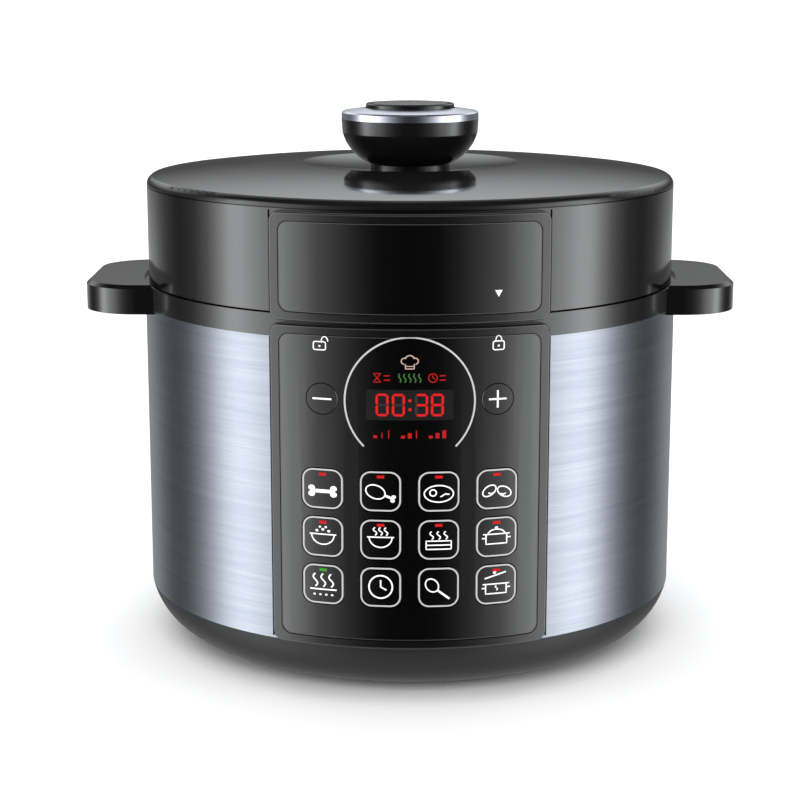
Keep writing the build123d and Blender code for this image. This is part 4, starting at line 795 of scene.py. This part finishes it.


# ---------------------------------------------------------------- cooking pot
# Drawn aluminium with a dark non-stick lining.
def lining(nodes):
    cells = nodes.node(
        "ShaderNodeTexVoronoi", None,
        {"Vector": nodes.node("ShaderNodeTexCoord", output="Object"), "Scale": 1 / (1.6 * mm)},
    )
    fleck = 1 - nodes.smooth(cells, 0.16, 0.22)
    fine = grain(nodes, 0.25 * mm)
    return {
        "Base Color": tint(nodes, fleck, (0.018, 0.018, 0.019), (0.20, 0.20, 0.21)),
        "Roughness": 0.30 + fine * 0.16,
        "Normal": relief(nodes, fine, 0.02 * mm),
    }


give(finish("stone_lining", lining), "inner_pot")


# ---------------------------------------------------------------- condensation cup
# Smoked clear plastic that hangs at the back and catches what runs off the rim.
def smoked(nodes):
    haze = grain(nodes, 6 * mm)
    return {
        "Base Color": tint(nodes, haze, (0.20, 0.205, 0.215), (0.27, 0.275, 0.285)),
        "Roughness": 0.12 + haze * 0.08,
    }


give(finish("smoked_plastic", smoked, Transmission_Weight=0.75, IOR=1.49), "condensation_cup")


# ---------------------------------------------------------------- seal and valves
# Milky silicone sealing ring, red silicone on the float valve, turned steel valve parts.
def silicone(nodes, dark, light):
    broad, fine = grain(nodes, 9 * mm), grain(nodes, 0.3 * mm)
    return {
        "Base Color": tint(nodes, broad, dark, light),
        "Roughness": 0.40 + broad * 0.12,
        "Normal": relief(nodes, fine, 0.012 * mm),
    }


milky = finish(
    "milky_silicone", lambda n: silicone(n, (0.66, 0.67, 0.66), (0.78, 0.78, 0.76)),
    Subsurface_Weight=0.35, Subsurface_Scale=0.004,
)
give(milky, "sealing_ring")
give(finish("red_silicone", lambda n: silicone(n, (0.36, 0.025, 0.02), (0.48, 0.04, 0.03))), "float_valve_seal")
turned_steel = finish(
    "turned_steel", lambda n: drawn_steel(n, (0.46, 0.46, 0.46), (0.62, 0.62, 0.62)), Metallic=1.0
)
give(turned_steel, "steam_pipe", "rocker_pin", "limit_valve", "float_valve", "thermal_fuse")


# ---------------------------------------------------------------- lid top
# High gloss black cover, polished out of the mould, with a shallow dish round the knob.
def polished(nodes, colour=0.0062, rough=0.055):
    haze, dust = grain(nodes, 60 * mm), grain(nodes, 0.9 * mm)
    return {
        "Base Color": tint(nodes, haze, (colour * 0.85,) * 3, (colour * 1.15,) * 3),
        "Roughness": rough + haze * 0.03 + nodes.smooth(dust, 0.66, 0.82) * 0.02,
    }


piano_black = finish("piano_black", polished, IOR=1.55)
give(piano_black, "lid_top_cover")

# A small filled arrow on the fascia shows where the lid turns to
arrow_path, arrow_widths = [(44.4, 216.6), (44.4, 213.3)], [3.9, 0.15]
printed("turn_arrow", [(arrow_path, arrow_widths, False)], white_ink_and_painted_glow, inlay_face, "lid")


# ---------------------------------------------------------------- springs
# Round steel wire wound on a mandrel, one under the vent button and one under the sensor.
# Each stands on its fixed end.
def spring_tree():
    """Geometry nodes that wind a spring from its sizes."""
    nodes, (_, radius, height, turns, wire, foot, steel) = new_tree(
        "wound_spring", Coil_radius="Float", Coil_height="Float", Turns="Float", Wire_radius="Float",
        Foot_level="Float", Wire="Material",
    )
    helix = nodes.node(
        "GeometryNodeCurveSpiral", None,
        {"Resolution": 40, "Rotations": turns, "Start Radius": radius, "End Radius": radius, "Height": height},
    )
    section = nodes.node("GeometryNodeCurvePrimitiveCircle", None, {"Resolution": 10, "Radius": wire})
    wound = nodes.node(
        "GeometryNodeCurveToMesh", None, {"Curve": helix, "Profile Curve": section, "Fill Caps": True}
    )
    lift = nodes.node("ShaderNodeCombineXYZ", None, [0.0, 0.0, foot])
    stood = nodes.node("GeometryNodeSetPosition", None, {"Geometry": wound, "Offset": lift})
    real = nodes.node("GeometryNodeRealizeInstances", None, [stood])
    done = nodes.node("GeometryNodeSetMaterial", None, {"Geometry": real, "Material": steel})
    nodes.node("NodeGroupOutput", None, [done])
    return nodes.tree


wound_spring = spring_tree()
wire_r, coil_turns = 0.5 * mm, 4.0
for node, body, joint, travel in (
    ("vent_button_spring", "lid", "vent_press", 2.5 * mm), ("sensor_spring", "root", "sensor_sink", 2.0 * mm),
):
    low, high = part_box(node)
    tall = high[2] - low[2]
    source = bpy.data.objects.new(node + "_start", bpy.data.meshes.new(node + "_start"))
    bpy.context.collection.objects.link(source)
    sizes = {
        "Coil radius": high[0] - wire_r, "Coil height": tall - 2 * wire_r, "Turns": coil_turns,
        "Wire radius": wire_r, "Foot level": low[2] + wire_r, "Wire": spring_steel,
    }
    mesh = run_tree(wound_spring, source, sizes)
    bpy.data.objects.remove(source)
    mesh.name = node + "_wire"
    mesh.shade_smooth()
    spring = as_object(node + "_wire", mesh, spring_steel, body)
    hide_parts(node)
    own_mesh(spring)


# ---------------------------------------------------------------- knob and vent button
# Gloss black bowl with a satin metallised ring let into its top. The button in the middle
# has a spun grey face with a steam sign.
knob_black = finish("knob_black", lambda n: polished(n, 0.0055, 0.10), IOR=1.6)
give(knob_black, "knob_body", "vent_button")


def metallised(nodes):
    rings = tool_marks(nodes, 0.16 * mm)
    return {
        "Base Color": tint(nodes, rings, (0.62, 0.65, 0.75), (0.74, 0.77, 0.86)),
        "Roughness": 0.24 + rings * 0.10,
        "Normal": relief(nodes, rings, 0.004 * mm),
    }


give(finish("satin_metallised", metallised, Metallic=1.0), "knob_trim_ring")


def lathe(name, profile, segments=128):
    """A closed solid of revolution about the axis, from an open profile that starts and ends on it."""
    mesh = bpy.data.meshes.new(name)
    build = bmesh.new()
    rings = []
    for r, z in profile:
        if r < 1e-6:
            rings.append([build.verts.new((0, 0, z * mm))])
        else:
            angles = [2 * math.pi * i / segments for i in range(segments)]
            rings.append([
                build.verts.new((r * mm * math.cos(angle), r * mm * math.sin(angle), z * mm))
                for angle in angles
            ])
    for low, high in zip(rings, rings[1:]):
        for i in range(segments):
            j = (i + 1) % segments
            corners = [low[i % len(low)], low[j % len(low)], high[j % len(high)], high[i % len(high)]]
            build.faces.new(list(dict.fromkeys(corners)))
    bmesh.ops.recalc_face_normals(build, faces=build.faces)
    build.to_mesh(mesh)
    build.free()
    mesh.shade_smooth()
    return mesh


def spun_grey(nodes):
    made = metallised(nodes)
    rings = grain(nodes, 3 * mm)
    made["Base Color"] = tint(nodes, rings, (0.075, 0.077, 0.083), (0.11, 0.112, 0.12))
    return made


button_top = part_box("vent_button")[1][2] / mm
face_profile = [
    (0, button_top - 0.3), (21.2, button_top - 0.3), (21.5, button_top + 0.05), (21.2, button_top + 0.22),
    (20.6, button_top + 0.27), (12, button_top + 0.30), (0, button_top + 0.32),
]
button_grey = finish("spun_grey", spun_grey, Metallic=0.85)
as_object("button_face", lathe("button_face", face_profile), button_grey, "button")


# The sign is a shallow bowl under three wisps of steam, in black on the grey face
def flat_sign(name, strokes, top, material, body):
    """Strokes on a level face, seen from above, each with a rounded back."""
    mesh = bpy.data.meshes.new(name)
    build = bmesh.new()
    section = ((-1, -0.02), (-0.55, 0.05), (0.55, 0.05), (1, -0.02))
    for path, widths, closed in strokes:
        rows = []
        for i, (px, py) in enumerate(path):
            before, after = path[max(i - 1, 0)], path[min(i + 1, len(path) - 1)]
            if closed:
                before, after = path[i - 1], path[(i + 1) % len(path)]
            length = math.hypot(after[0] - before[0], after[1] - before[1]) or 1
            nx, ny = -(after[1] - before[1]) / length, (after[0] - before[0]) / length
            half = widths[i] / 2
            row = []
            for across, rise in section:
                place = ((px + nx * half * across) * mm, (py + ny * half * across) * mm, (top + rise) * mm)
                row.append(build.verts.new(place))
            rows.append(row)
        pairs = list(zip(rows, rows[1:])) + ([(rows[-1], rows[0])] if closed else [])
        for low, high in pairs:
            for k in range(4):
                build.faces.new((low[k], low[(k + 1) % 4], high[(k + 1) % 4], high[k]))
        if not closed:
            build.faces.new(rows[0])
            build.faces.new(rows[-1][::-1])
    bmesh.ops.recalc_face_normals(build, faces=build.faces)
    build.to_mesh(mesh)
    build.free()
    return as_object(name, mesh, material, body)


sign_black = finish("sign_black", lambda n: lacquer(n, 0.004, 0.25), IOR=1.5)
steam_sign = oval(0, -3.0, 8.5, 4.5, 180, 180, width=1.3) + line((-10.2, -2.6), (10.2, -2.6), width=1.3)
steam_sign += wave(-4.6, 4.0, 9.5, 1.3, 1.3) + wave(0, 4.6, 9.5, 1.3, 1.3) + wave(4.6, 4.0, 9.5, 1.3, 1.3)
flat_sign("button_sign", steam_sign, button_top + 0.31, sign_black, "button")
